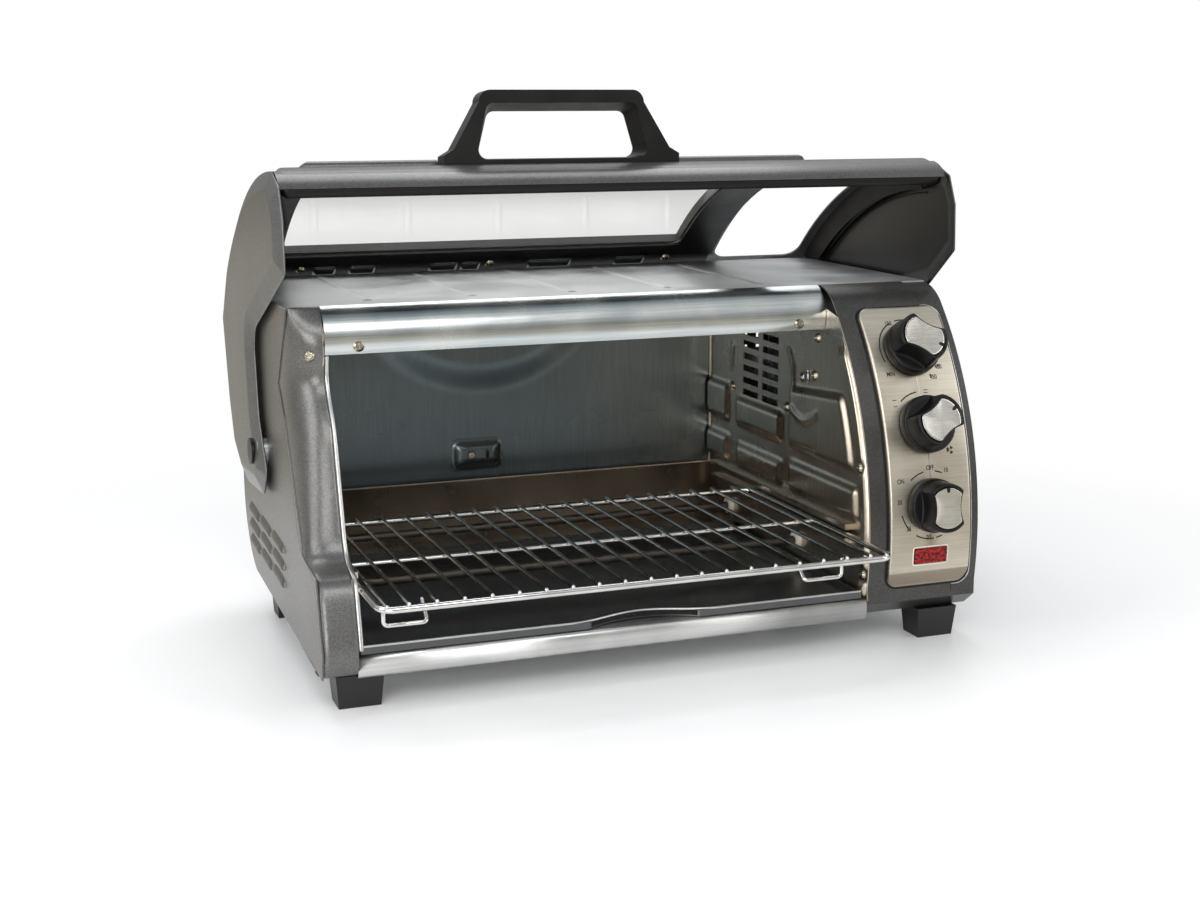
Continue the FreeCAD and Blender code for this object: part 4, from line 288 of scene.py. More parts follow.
# %% Rolled and brushed metal
def streaked_metal(name, dark, light, roughness, along, streak, depth, clouds=45.0):
    """Streaks and a broad cloud are added, and the sum picks the tint between the two cards.
    along scales the streaks' noise in x, y and z: 0.01 draws them out a hundred times that way.
    The streaks' width and the clouds' size are in mm."""
    finish, tree, shader, place = new_finish(
        name, light, Metallic=1.0, Roughness=roughness)
    drawn = put(tree, "Mapping", {"Vector": place, "Scale": along})
    lines = put(tree, "TexNoise", {"Vector": drawn.outputs[0], "Scale": per_mm(streak),
                                   "Detail": 3.0, "Roughness": 0.6})
    cloud = put(tree, "TexNoise", {"Vector": place, "Scale": per_mm(clouds), "Detail": 4.0})
    mixed = put(tree, "Math", {0: lines.outputs["Fac"], 1: cloud.outputs["Fac"]}, operation="ADD")
    share = put(tree, "MapRange", {0: mixed.outputs[0], 1: 0.75, 2: 1.25})
    tint = put(tree, "Mix", {0: share.outputs[0], 6: linear(dark), 7: linear(light)},
               data_type="RGBA")
    tree.links.new(tint.outputs[2], shader.inputs["Base Color"])
    rough = put(tree, "MapRange", {0: cloud.outputs["Fac"], 1: 0.3, 2: 0.7,
                                   3: roughness - 0.05, 4: roughness + 0.07})
    tree.links.new(rough.outputs[0], shader.inputs["Roughness"])
    bump = put(tree, "Bump", {"Height": lines.outputs["Fac"], "Strength": depth,
                              "Distance": 0.0001})
    tree.links.new(bump.outputs[0], shader.inputs["Normal"])
    return finish


header_steel = streaked_metal("aluminised_steel_header", "#b4bcbe", "#d3d6d3", 0.23,
                              (0.01, 1.0, 1.0), 0.7, 0.0)
cover_steel = streaked_metal("aluminised_steel_cover", "#aeb1b3", "#c4c7c8", 0.36,
                             (0.02, 1.0, 1.0), 0.8, 0.05)
# The liner's warm grey is partly the steel's own tone and partly a painted reflection of the
# cavity's brown.
liner_steel = streaked_metal("aluminised_steel_liner", "#a89f93", "#c9bdad", 0.27,
                             (1.0, 1.0, 0.03), 1.0, 0.0, 90.0)
# The back wall takes a darker blue-grey copy of the liner steel: painted shade and painted
# reflection.
back_metal_painted_shade = streaked_metal("aluminised_steel_back_painted_shade", "#50585b", "#5f676a", 0.24,
                            (1.0, 1.0, 0.03), 1.4, 0.0, 120.0)
sill_steel = streaked_metal("brushed_steel_sill", "#b9bab8", "#d2d2d0", 0.33,
                            (0.006, 1.0, 1.0), 0.6, 0.08)
plate_steel = streaked_metal("brushed_stainless_plate", "#b0a898", "#c9c2b4", 0.34,
                             (0.012, 1.0, 1.0), 0.6, 0.06)
print("sheet metals:", header_steel.name, cover_steel.name, liner_steel.name, back_metal_painted_shade.name,
      sill_steel.name, plate_steel.name)

# %% Painted shade on the plate's folded lowest part: a darker steel colour below a crease 52.7 mm above the counter
CREASE_LOW, CREASE_HIGH = 0.0522, 0.0532
tree = plate_steel.node_tree
shader = tree.nodes["Principled BSDF"]
parts = put(tree, "SeparateXYZ", {0: tree.nodes["Texture Coordinate"].outputs["Object"]})
painted_fold_shade_mask = put(tree, "MapRange", {0: parts.outputs["Z"], 1: CREASE_LOW, 2: CREASE_HIGH,
                                   3: 1.0, 4: 0.0})
painted_fold_shade = put(tree, "Mix", {0: painted_fold_shade_mask.outputs[0],
                              6: shader.inputs["Base Color"].links[0].from_socket,
                              7: linear("#94897a")}, data_type="RGBA")
tree.links.new(painted_fold_shade.outputs[2], shader.inputs["Base Color"])
print("plate's fold shaded below", CREASE_HIGH / MM, "mm")

# %% Steel of the small parts
inlay_steel = streaked_metal("brushed_nickel_inlay", "#bdbab2", "#dad8d1", 0.27,
                             (0.02, 1.0, 1.0), 0.6, 0.05)
bright_steel = streaked_metal("zinc_plated_steel", "#9fa3a6", "#c4c7c9", 0.3,
                              (0.3, 1.0, 0.3), 1.2, 0.1, 20.0)
screw_brass = streaked_metal("zinc_passivated_screws", "#8d877a", "#bab3a3", 0.22,
                             (0.5, 0.5, 0.5), 0.8, 0.05, 6.0)
print("small parts:", inlay_steel.name, bright_steel.name, screw_brass.name)

# %% [markdown]
# ### Chromed wire and the heaters' sheath
# The rack is steel wire with a polished nickel and chrome plating, a little clouded by heat. The
# heaters are a nickel alloy tube, oxidised to a dull brown grey.


# %% Plain metals with a heat haze
def hazy_metal(name, dark, light, roughness, size):
    """A noise of that size in mm picks the tint between the two cards, and the haze is twice as
    rough as the clear metal."""
    finish, tree, shader, place = new_finish(name, light, Metallic=1.0, Roughness=roughness)
    haze = put(tree, "TexNoise", {"Vector": place, "Scale": per_mm(size), "Detail": 4.0})
    tint = put(tree, "Mix", {0: haze.outputs["Fac"], 6: linear(dark), 7: linear(light)},
               data_type="RGBA")
    tree.links.new(tint.outputs[2], shader.inputs["Base Color"])
    rough = put(tree, "MapRange", {0: haze.outputs["Fac"], 1: 0.3, 2: 0.7,
                                   3: roughness * 0.7, 4: roughness * 1.4})
    tree.links.new(rough.outputs[0], shader.inputs["Roughness"])
    return finish


chrome_wire = hazy_metal("chrome_plated_wire", "#bcbab6", "#e4e4e2", 0.14, 12.0)
sheath_metal = hazy_metal("oxidised_heater_sheath", "#3e3a36", "#6b645c", 0.5, 8.0)
print("wire:", chrome_wire.name, sheath_metal.name)

# %% [markdown]
# ### Moulded plastics, enamel and ceramic
# The handle and the knobs are heat-proof phenolic, moulded with a fine spark-eroded texture that
# turns the highlight to satin. The tray and the door's frame carry black enamel, glossy with the
# ripple of fired glass. The insulators are unglazed ceramic.


# %% Moulded and fired finishes
def moulded(name, dark, light, roughness, grain, depth, **sockets):
    """A broad noise picks the tint and the roughness, and a fine one, whose grain is in mm,
    raises the skin by the depth."""
    finish, tree, shader, place = new_finish(name, light, Roughness=roughness, **sockets)
    fine = put(tree, "TexNoise", {"Vector": place, "Scale": per_mm(grain), "Detail": 3.0})
    broad = put(tree, "TexNoise", {"Vector": place, "Scale": per_mm(25), "Detail": 2.0})
    tint = put(tree, "Mix", {0: broad.outputs["Fac"], 6: linear(dark), 7: linear(light)},
               data_type="RGBA")
    tree.links.new(tint.outputs[2], shader.inputs["Base Color"])
    rough = put(tree, "MapRange", {0: broad.outputs["Fac"], 1: 0.3, 2: 0.7,
                                   3: roughness - 0.04, 4: roughness + 0.06})
    tree.links.new(rough.outputs[0], shader.inputs["Roughness"])
    bump = put(tree, "Bump", {"Height": fine.outputs["Fac"], "Strength": depth,
                              "Distance": 0.0002})
    tree.links.new(bump.outputs[0], shader.inputs["Normal"])
    return finish


handle_plastic = moulded("satin_black_phenolic", "#050505", "#0a0a0a", 0.36, 0.8, 0.1,
                         Specular_IOR_Level=0.35)
knob_plastic = moulded("matte_black_phenolic", "#040404", "#0a0a0a", 0.38, 0.7, 0.1,
                       Specular_IOR_Level=0.28)
foot_rubber = moulded("black_foot_plastic", "#070707", "#101010", 0.42, 0.8, 0.2)
tray_enamel = moulded("dark_tray_coating", "#4c4d4e", "#636564", 0.2, 3.0, 0.02, Metallic=0.85)
frame_enamel = moulded("black_satin_enamel", "#060606", "#0c0a09", 0.42, 2.0, 0.08,
                       Specular_IOR_Level=0.3)
ceramic = moulded("unglazed_ceramic", "#d8d2c4", "#ece8de", 0.65, 0.5, 0.3)
housing = moulded("cream_phenolic_housing", "#a89f88", "#c4bca4", 0.5, 0.9, 0.25)
print("moulded:", handle_plastic.name, knob_plastic.name, tray_enamel.name)

# %% [markdown]
# ### Glass and the red lens
# The window is toughened clear glass, a little grey in its depth. Light that only passes through
# is let through unbent for shadows, because a path tracer finds it hard to follow otherwise. The
# lens is red acrylic, mottled where small pyramids break up the lamp behind it.

# %% Glass
window_glass, tree, shader, place = new_finish(
    "toughened_window_glass", "#f6f6f3", Roughness=0.01, IOR=1.45, Transmission_Weight=1.0)
film = put(tree, "TexNoise", {"Vector": place, "Scale": per_mm(220), "Detail": 1.0})
tint = put(tree, "Mix", {0: film.outputs["Fac"], 6: linear("#f2f2ef"), 7: linear("#f8f8f6")},
           data_type="RGBA")
tree.links.new(tint.outputs[2], shader.inputs["Base Color"])
through = put(tree, "BsdfTransparent", {"Color": linear("#f0f0ee")})
rays = put(tree, "LightPath")
both = put(tree, "MixShader", {0: rays.outputs["Is Shadow Ray"], 1: shader.outputs[0],
                               2: through.outputs[0]})
tree.links.new(both.outputs[0], tree.nodes["Material Output"].inputs[0])
print("glass:", window_glass.name)

# %% Red lens and its lamp
red_lens, tree, shader, place = new_finish(
    "red_acrylic_lens", "#7a1210", Roughness=0.3, IOR=1.49, Specular_IOR_Level=0.3)
mottle = put(tree, "TexNoise", {"Vector": place, "Scale": per_mm(2.0), "Detail": 1.0})
spread = put(tree, "MapRange", {0: mottle.outputs["Fac"], 1: 0.38, 2: 0.62})
glow = put(tree, "Mix", {0: spread.outputs[0], 6: linear("#2e0303"), 7: linear("#9c160f")},
           data_type="RGBA")
tree.links.new(glow.outputs[2], shader.inputs["Base Color"])
lamp_glass = moulded("orange_lamp_glass", "#c8612a", "#e58a4c", 0.15, 2.0, 0.1,
                     Transmission_Weight=0.5)
print("lens and lamp:", red_lens.name, lamp_glass.name)

# %% [markdown]
# ## Each solid gets its finish
# A solid whose form is right stays as it is and takes its finish here, by name.

# %% Finishes by solid
finishes = {
    case_paint: "left_side_panel",
    lip_paint: "door_panel window_bezel",
    frame_paint: "control_frame right_side_panel",
    pillar_paint: "left_pillar",
    left_arm_paint: "door_arm_left",
    right_arm_paint: "door_arm_right",
    header_steel: "header_bar",
    cover_steel: "top_cover back_panel bottom_panel",
    liner_steel: "cavity_left_wall cavity_right_wall cavity_back_wall cavity_ceiling cavity_floor",
    sill_steel: "sill_bar",
    plate_steel: "control_plate",
    inlay_steel: "temperature_knob_inlay function_knob_inlay timer_knob_inlay",
    knob_plastic: "temperature_knob function_knob timer_knob",
    handle_plastic: "door_handle cord_gland hinge_caps",
    foot_rubber: "feet",
    tray_enamel: "crumb_tray",
    frame_enamel: "door_inner_frame door_side_strip",
    window_glass: "door_glass",
    red_lens: "pilot_lens",
    lamp_glass: "pilot_lamp",
    chrome_wire: "wire_rack",
    sheath_metal: "upper_heating_element lower_heating_element",
    ceramic: "element_insulators",
    housing: "thermostat function_switch toast_timer terminal_block",
    bright_steel: "temperature_shaft function_shaft timer_shaft fan_wheel fan_shaft "
                  "fan_motor fan_bracket hinge_plates hinge_bushes hinge_pins hinge_clips "
                  "timer_bell",
    screw_brass: "casing_screws cavity_wall_screws door_strip_screws handle_screws",
}
finished = set()
for finish, names in finishes.items():
    for name in names.split():
        slots = nodes[name].data.materials
        slots.clear()
        slots.append(finish)
        finished.add(name)
print("left bare:", sorted(set(nodes) - finished))

# %% [markdown]
# ## The wire rack
# The rack is one thick wire bent into a frame with round corners, thinner wires welded across it,
# and two short loops that hang below its front. A wire is a circle carried along a path. Every
# path here lies in a plane, so the circle's two directions are the plane's own normal and the
# cross product of the path's direction with it, and no twist can build up.


# %% A wire along a path
def wire(path, radius, normal, closed=False, sides=14):
    """Ring k holds path[k] + radius * (cos a * side + sin a * normal), where side is the
    direction times the normal. Open ends are rounded by rings that shrink over a quarter
    circle, and closed by a flat face."""
    path, normal = np.asarray(path, float), np.asarray(normal, float)
    if closed:
        along = np.roll(path, -1, 0) - np.roll(path, 1, 0)
    else:
        along = np.gradient(path, axis=0)
    along /= np.linalg.norm(along, axis=1)[:, None]
    widths = np.full(len(path), radius)
    if not closed:
        bend = np.radians([80.0, 55.0, 25.0])
        shrink, out = radius * np.cos(bend), radius * np.sin(bend)
        first = path[0] - out[:, None] * along[0]
        last = path[-1] + out[::-1, None] * along[-1]
        path = np.concatenate([first, path, last])
        along = np.concatenate([np.repeat(along[:1], 3, 0), along, np.repeat(along[-1:], 3, 0)])
        widths = np.concatenate([shrink, widths, shrink[::-1]])
    side = np.cross(along, normal)
    angle = np.linspace(0, 2 * np.pi, sides, endpoint=False)
    ring = (np.cos(angle)[None, :, None] * side[:, None] + np.sin(angle)[None, :, None] * normal)
    points = path[:, None] + widths[:, None, None] * ring
    if closed:
        return points, flipped(grid_faces(len(path), sides, True, True).tolist())
    return points, flipped(stack_of_rings(points)[1])


def rounded_path(corners, radius, closed=False, steps=8):
    """A path through corners, each cut by an arc of that radius (or of its own, from a list)
    that touches both its runs: centre = corner + (inward bisector) * radius / cos(half turn)."""
    corners = np.asarray(corners, float)
    count = len(corners)
    radii = np.broadcast_to(radius, count)
    out = []
    for k in range(count):
        here, radius = corners[k], radii[k]
        if radius == 0 or not closed and k in (0, count - 1):
            out.append(here[None])
            continue
        back = corners[k - 1] - here
        ahead = corners[(k + 1) % count] - here
        back, ahead = back / np.linalg.norm(back), ahead / np.linalg.norm(ahead)
        half = math.acos(np.clip(back @ ahead, -1, 1)) / 2
        cut = radius / math.tan(half)
        middle = here + (back + ahead) / np.linalg.norm(back + ahead) * radius / math.sin(half)
        start, stop = here + back * cut - middle, here + ahead * cut - middle
        swing = math.pi - 2 * half
        share = np.linspace(0, 1, steps + 1)[:, None]
        out.append(middle + (np.sin((1 - share) * swing) * start + np.sin(share * swing) * stop)
                   / math.sin(swing))
    return np.concatenate(out)


def straight(start, stop):
    """Nine points at equal steps from start to stop."""
    return np.linspace(start, stop, 9)


print("points of a path with one bend:",
      len(rounded_path([(0, 0, 0), (20, 0, 0), (20, 20, 0)], 9.0)))

# %% The rack's frame and the wires welded on it
DRAWN_OUT = 80.0
RACK_LEFT, RACK_RIGHT, RACK_Z, RACK_CORNER = -204.6, 140.4, 77.0, 9.0
RACK_FRONT, RACK_REAR = 30.0 - DRAWN_OUT - SHIFT, 244.0 - DRAWN_OUT - SHIFT
FRAME_WIRE, CROSS_WIRE, MIDDLE_WIRE, RUNNER_WIRE, LOOP_WIRE = 2.2, 1.35, 1.7, 1.5, 1.3
CROSS_WIRES, CROSS_RISE, CROSS_PAST = 19, 3.0, 0.8
RUNNER_INSET, RUNNER_RISE = 4.4, 1.6
UP, RIGHT, BACK = (0, 0, 1), (1, 0, 0), (0, 1, 0)

outline = rounded_path(
    [(RACK_LEFT, RACK_FRONT, RACK_Z), (RACK_RIGHT, RACK_FRONT, RACK_Z),
     (RACK_RIGHT, RACK_REAR, RACK_Z), (RACK_LEFT, RACK_REAR, RACK_Z)], RACK_CORNER, True)
shapes = [wire(outline, FRAME_WIRE, UP, True, 18)]
cross_z = RACK_Z + CROSS_RISE
for x in np.linspace(RACK_LEFT, RACK_RIGHT, CROSS_WIRES + 2)[1:-1]:
    shapes.append(wire(straight((x, RACK_FRONT - CROSS_PAST, cross_z),
                                (x, RACK_REAR + CROSS_PAST, cross_z)), CROSS_WIRE, UP))
middle_y = (RACK_FRONT + RACK_REAR) / 2
shapes.append(wire(straight((RACK_LEFT, middle_y, RACK_Z), (RACK_RIGHT, middle_y, RACK_Z)),
                   MIDDLE_WIRE, UP))
runner_z = RACK_Z + RUNNER_RISE
for x in (RACK_LEFT + RUNNER_INSET, RACK_RIGHT - RUNNER_INSET):
    shapes.append(wire(straight((x, RACK_FRONT + 1.0, runner_z), (x, RACK_REAR - 1.0, runner_z)),
                       RUNNER_WIRE, UP))
print("straight wires on the rack:", len(shapes) - 1)

# %% The loops below the rack's front
LOOP_DROP, LOOP_LEAN, LOOP_BEND = 10.5, math.radians(50.0), 3.0
low_z, loop_y = RACK_Z - LOOP_DROP, RACK_FRONT + 4.0
for near_x, far_x in ((RACK_LEFT + 2.5, RACK_LEFT + 29.5),
                      (RACK_RIGHT - 36.0, RACK_RIGHT - 63.0)):
    low_middle = ((near_x + far_x) / 2, loop_y, low_z)
    near = rounded_path([(near_x, loop_y, RACK_Z + 1.0), (near_x, loop_y, low_z), low_middle],
                        LOOP_BEND)
    shapes.append(wire(near, LOOP_WIRE, BACK))
    tail = rounded_path([low_middle, (far_x, loop_y, low_z),
                         (far_x, loop_y + LOOP_DROP * math.tan(LOOP_LEAN), RACK_Z)], LOOP_BEND)
    lean = np.cross(tail[-1] - tail[-2], tail[1] - tail[0])
    shapes.append(wire(tail, LOOP_WIRE, lean / np.linalg.norm(lean)))
points, faces = joined(shapes)
rack = new_piece("rack_wires", points, faces, chrome_wire, "rack")
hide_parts("wire_rack")

# %% [markdown]
# ## The knobs
# A knob has a round base and a waisted grip that the finger and thumb pinch, with a ledge where
# the grip is scooped out. It is drawn as rings of points, one above another. Each ring's reach at
# an angle is the lesser of a circle and the scoop, and the scoop is a circle seen from its outside.

# %% A knob's outline
KNOB_X, KNOB_LIFT = 192.5, 3.8
# Angle on the panel, turn of the pointer from straight up, both in degrees, and size.
KNOB_PLACES = {"temperature": (32.0, 122.0, 1.0), "function": (19.3, 57.0, 1.0),
               "timer": (6.5, 0.0, 0.94)}
SOFTENING = 0.45


def circle_of(count):
    """That many angles round a circle, the last one step short of the first."""
    return np.linspace(0, 2 * np.pi, count, endpoint=False)


around = circle_of(128)


def grip_reach(end, half, scoop):
    """How far a waisted outline reaches at each angle from the pointer's way: the end's radius, or
    the near side of the scoop's circle, centred at half + sqrt(scoop^2 - end^2 + half^2). The
    lesser of the two is taken softly, as -s * log(exp(-a / s) + exp(-b / s))."""
    centre = half + math.sqrt(scoop ** 2 - end ** 2 + half ** 2)
    across = np.abs(np.sin(around)) * centre
    inside = across ** 2 - (centre ** 2 - scoop ** 2)
    side = np.where(inside > 0, across - np.sqrt(np.maximum(inside, 0)), 99.0)
    return -SOFTENING * np.log(np.exp(-side / SOFTENING) + math.exp(-end / SOFTENING))


def on_knob(name, reach, height, turn=around):
    """Points at a reach from the knob's axis and a height above the plate, for each angle from
    the pointer: place + reach * (cos * pointer + sin * across) + height * outwards."""
    angle, twist = (math.radians(value) for value in KNOB_PLACES[name][:2])
    up = np.array([0, math.sin(angle), math.cos(angle)])
    out = np.array([0, -math.cos(angle), math.sin(angle)])
    right = np.array([1.0, 0, 0])
    pointer = math.cos(twist) * up + math.sin(twist) * right
    side = math.cos(twist) * right - math.sin(twist) * up
    start = on_panel(KNOB_X, KNOB_LIFT, KNOB_PLACES[name][0])
    reach, height, turn = np.broadcast_arrays(reach * KNOB_PLACES[name][2], height, turn)
    return (start + (reach * np.cos(turn))[..., None] * pointer
            + (reach * np.sin(turn))[..., None] * side + height[..., None] * out)


print("timer's axis meets the plate at", on_knob("timer", 0.0, 0.0, 0.0).round(1))

# %% Rings of a grip and the outline of a pointer
# Height, circle's radius, share of the grip's outline, and how far outside that outline.
KNOB_RINGS = [
    (0.0, 19.0, 0.0, 0.0), (0.2, 19.7, 0.0, 0.0), (0.7, 20.0, 0.0, 0.0), (3.5, 20.0, 0.0, 0.0),
    (6.2, 19.9, 0.0, 0.0), (7.1, 19.6, 0.0, 0.0), (7.5, 19.2, 0.0, 0.0), (7.65, 18.8, 0.1, 0.0),
    (7.7, 18.8, 0.5, 1.6), (7.75, 18.8, 0.9, 1.6), (7.9, 18.8, 1.0, 1.3), (8.5, 18.7, 1.0, 0.9),
    (12.0, 18.5, 1.0, 0.6), (17.0, 18.2, 1.0, 0.2), (20.6, 18.0, 1.0, 0.0),
    (21.6, 17.9, 1.0, -0.15), (22.2, 17.6, 1.0, -0.5), (22.4, 17.3, 1.0, -0.9),
    (22.4, 16.6, 1.0, -1.5), (22.2, 16.2, 1.0, -1.9), (21.6, 16.0, 1.0, -2.2),
]
GRIP_TOP, INLAY_TOP, DISH_LOW, DISH_RISE = 21.6, 22.5, 21.9, 0.6
POINTER_LOW, POINTER_HIGH = 22.0, 22.6
POINTER = np.array([(15.2, -1.4), (12.8, -1.2), (11.6, -0.8), (11.2, 0.0), (11.6, 0.8),
                    (12.8, 1.2), (15.2, 1.4)])
pointer_reach = np.hypot(POINTER[:, 0], POINTER[:, 1])
pointer_turn = np.arctan2(POINTER[:, 1], POINTER[:, 0])
grip = grip_reach(18.0, 13.2, 32.0)
inlay = grip_reach(14.8, 11.1, 34.0)
print("grip's waist and end in mm:", grip.min().round(1), grip.max().round(1))

# %% Knobs, inlays and pointers
for name in KNOB_PLACES:
    rings = []
    for height, circle, share, more in KNOB_RINGS:
        reach = (1 - share) * circle + share * np.minimum(circle, grip + more)
        rings.append(on_knob(name, reach, height))
    rings.append(on_knob(name, grip * 0.2, GRIP_TOP))
    points, faces = stack_of_rings(rings)
    knob = new_piece(name + "_knob_grip", points, faces, knob_plastic, name + "_knob")
    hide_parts(name + "_knob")

    rings = [on_knob(name, inlay - 0.1, 21.4), on_knob(name, inlay, 22.2),
             on_knob(name, inlay - 0.12, 22.42), on_knob(name, inlay - 0.35, INLAY_TOP)]
    for share in (0.94, 0.85, 0.7, 0.5, 0.3, 0.12, 0.02):
        dish = DISH_LOW + DISH_RISE * share ** 2
        rings.append(on_knob(name, (inlay - 0.35) * share, dish))
    points, faces = stack_of_rings(rings)
    cap = new_piece(name + "_dished_inlay", points, faces, inlay_steel, name + "_knob")
    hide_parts(name + "_knob_inlay")

    points, faces = stack_of_rings([on_knob(name, pointer_reach, height, pointer_turn)
                                    for height in (POINTER_LOW, POINTER_HIGH)])
    new_piece(name + "_pointer", points, faces, knob_plastic, name + "_knob",
              False)

# %% [markdown]
# ## The control plate
# The plate is a thin stainless sheet, pressed so that its border rolls down to the frame, and with
# its lowest part folded back. It is a nest of rounded rectangles: the outer ones fall away as a
# quarter round, and the inner ones shrink to a line. All are wrapped on the panel's circle, where
# a length s along the plate is an angle of s / radius.

# %% A pressed plate on the panel's curve
PLATE_MIDDLE, PLATE_HALF = 192.75, 30.25
PLATE_LOW, PLATE_HIGH = -6.5, 39.6
PLATE_LIFT, PLATE_CORNER = 3.2, 7.0
FOLD_HEIGHT, FOLD_SLOPE = 9.5, 0.31
arc_mm = math.radians(1.0) * (PANEL_RADIUS + PLATE_LIFT)
low, high = PLATE_LOW * arc_mm, PLATE_HIGH * arc_mm


def rounded_rectangle(half_x, low, high, radius, steps=10, side=60):
    """Points round a rectangle with round corners, from its lower right corner's arc on: each
    corner is middle + radius * (cos a, sin a), and each side is cut into equal steps."""
    turns = np.radians(np.linspace(0, 90, steps))
    out = []
    for x, s, start in ((half_x, low, 270), (half_x, high, 0), (-half_x, high, 90),
                        (-half_x, low, 180)):
        sx, ss = np.sign(x), 1 if s == high else -1
        middle = np.array([x - sx * radius, s - ss * radius])
        way = turns + math.radians(start)
        out.append(middle + radius * np.stack([np.cos(way), np.sin(way)], -1))
    full = []
    for k in range(4):
        full.append(out[k])
        ahead = out[(k + 1) % 4][0]
        share = np.linspace(0, 1, side + 2)[1:-1, None]
        full.append(out[k][-1] * (1 - share) + ahead * share)
    return np.concatenate(full)


def folded(s, lift):
    """The lift at a height s along the plate. Below the crease it drops by the slope for each mm,
    and softly at first: sqrt(below^2 + 0.1) - sqrt(0.1)."""
    below = np.maximum(low + FOLD_HEIGHT - s, 0.0)
    drop = FOLD_SLOPE * (np.sqrt(below ** 2 + 0.1) - math.sqrt(0.1))
    return np.where(lift > 0.3, np.maximum(lift - drop, 0.25), lift)


def plate_loop(inset, corner):
    """Points (across, along) round the plate's outline, moved inwards by the inset."""
    return rounded_rectangle(PLATE_HALF - inset, low + inset, high - inset, corner)


def on_plate(loop, lift):
    """Points (across, along) wrapped on the panel: the angle is the length along / radius."""
    return on_panel(PLATE_MIDDLE + loop[:, 0], lift, loop[:, 1] / arc_mm)


print("plate's height along its curve:", round(high - low, 1), "mm")

# %% The plate, and round it a black ribbon of painted shade for the gap
rings = []
for inset, lift in ((-1.5, -0.4), (-1.5, 0.6), (-1.45, 1.5), (-1.3, 2.2), (-1.0, 2.75),
                    (-0.6, 3.05), (-0.1, 3.18), (0.5, 3.2), (5.0, 3.2), (9.0, 3.2), (16.0, 3.2),
                    (24.0, 3.2), (29.9, 3.2)):
    loop = plate_loop(inset, max(PLATE_CORNER - inset, 0.3))
    rings.append(on_plate(loop, folded(loop[:, 1], lift)))
points, faces = stack_of_rings(rings)
plate = new_piece("pressed_control_plate", points, faces, plate_steel, "casing")
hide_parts("control_plate")

# A thin black ribbon round the plate is painted shade: it stands for the shadow in the gap.
rings = np.stack([on_plate(plate_loop(inset, PLATE_CORNER - inset), lift)
                  for inset, lift in ((-3.4, 0.03), (-3.2, 0.16), (-2.2, 0.16), (-1.2, 0.16))])
new_piece("painted_gap_shade", rings, grid_faces(*rings.shape[:2], False, True), knob_plastic, "casing")

# %% A bright steel hairline round the plate as painted highlight on the side flange's edge, and the flange's seam below
# The right half of an outline round the plate, taken in order of its angle about the seam.
EDGE_GAP, EDGE_CORNER, EDGE_WIRE, SEAM_X = 3.6, 10.0, 0.4, 20.4
loop = plate_loop(-EDGE_GAP, EDGE_CORNER)
right_half = loop[loop[:, 0] > SEAM_X]
right_half = right_half[np.argsort(np.unwrap(np.arctan2(
    right_half[:, 1] - (low + high) / 2, right_half[:, 0] - SEAM_X)))]
edge = on_plate(right_half, -0.1)
outwards = edge - (0.0, PANEL_Y - SHIFT, PANEL_Z)
outwards[:, 0] = 0
outwards /= np.linalg.norm(outwards, axis=1)[:, None]
run = np.gradient(edge, axis=0)
aside = np.cross(run / np.linalg.norm(run, axis=1)[:, None], outwards)
# The hairline's bright steel is a painted highlight on the flange's edge.
points = np.stack([edge + EDGE_WIRE * (math.cos(turn) * aside + math.sin(turn) * outwards)
                   for turn in circle_of(8)], 1)
new_piece("flange_edge_painted_highlight", points, grid_faces(len(edge), 8, False, True), bright_steel, "casing")
seam = on_panel(PLATE_MIDDLE + np.array([SEAM_X - 0.5, SEAM_X + 0.5])[None, :], 0.14,
                np.linspace(-9.3, -7.45, 8)[:, None])
new_piece("frame_seam", seam, grid_faces(8, 2), knob_plastic, "casing")

# %% [markdown]
# ### Marks on the plate
# Each dial has an arc of thin printed lines round it, plain numbers and short words, and the
# function dial has three simple signs. A line is a flat ribbon, and a letter is a mesh made from
# a curve. Both are bent onto the plate: a mark at (right, up) from a dial goes to that x and to
# the angle up / radius.

# %% Ink
print_ink = moulded("printed_black_ink", "#0d0c0a", "#161410", 0.6, 0.5, 0.05)
INK_LIFT = PLATE_LIFT + 0.04
NARROWING, STROKE_SWELL = 0.78, 0.1
SIGN_BAR = np.array([(-1.6, -0.275), (1.6, -0.275), (1.6, 0.275), (-1.6, 0.275)])


def ink_piece(name, flat, faces, dial):
    """Flat marks (right, up) in mm round a dial, laid on the plate."""
    flat = np.asarray(flat, float).reshape(-1, 2)
    angle = KNOB_PLACES[dial][0] + flat[:, 1] / arc_mm
    points = on_panel(KNOB_X + flat[:, 0], INK_LIFT, angle)
    return new_piece(name, points, faces, print_ink, "casing", False)


def ribbon(radius, start, stop, width=0.95):
    """A strip round the dial between two clock angles in degrees, as flat points and faces."""
    turn = np.radians(np.linspace(start, stop, max(int(abs(stop - start) / 3), 2)))
    way = np.stack([np.sin(turn), np.cos(turn)], -1)
    flat = np.stack([way * (radius - width / 2), way * (radius + width / 2)], 1)
    faces = grid_faces(len(turn), 2)
    return flat.reshape(-1, 2), faces[:, ::-1].tolist()


def lettering(text, size, right, up):
    """A word as a flat mesh whose middle is at (right, up)."""
    curve = bpy.data.curves.new("word", "FONT")
    curve.body, curve.size, curve.offset = text, size, STROKE_SWELL
    curve.align_x, curve.align_y = "CENTER", "CENTER"
    holder = bpy.data.objects.new("word", curve)
    scene.collection.objects.link(holder)
    graph = bpy.context.evaluated_depsgraph_get()
    mesh = bpy.data.meshes.new_from_object(holder.evaluated_get(graph))
    points = [(corner.co.x * NARROWING + right, corner.co.y + up) for corner in mesh.vertices]
    faces = [list(face.vertices) for face in mesh.polygons]
    bpy.data.objects.remove(holder)
    return points, faces


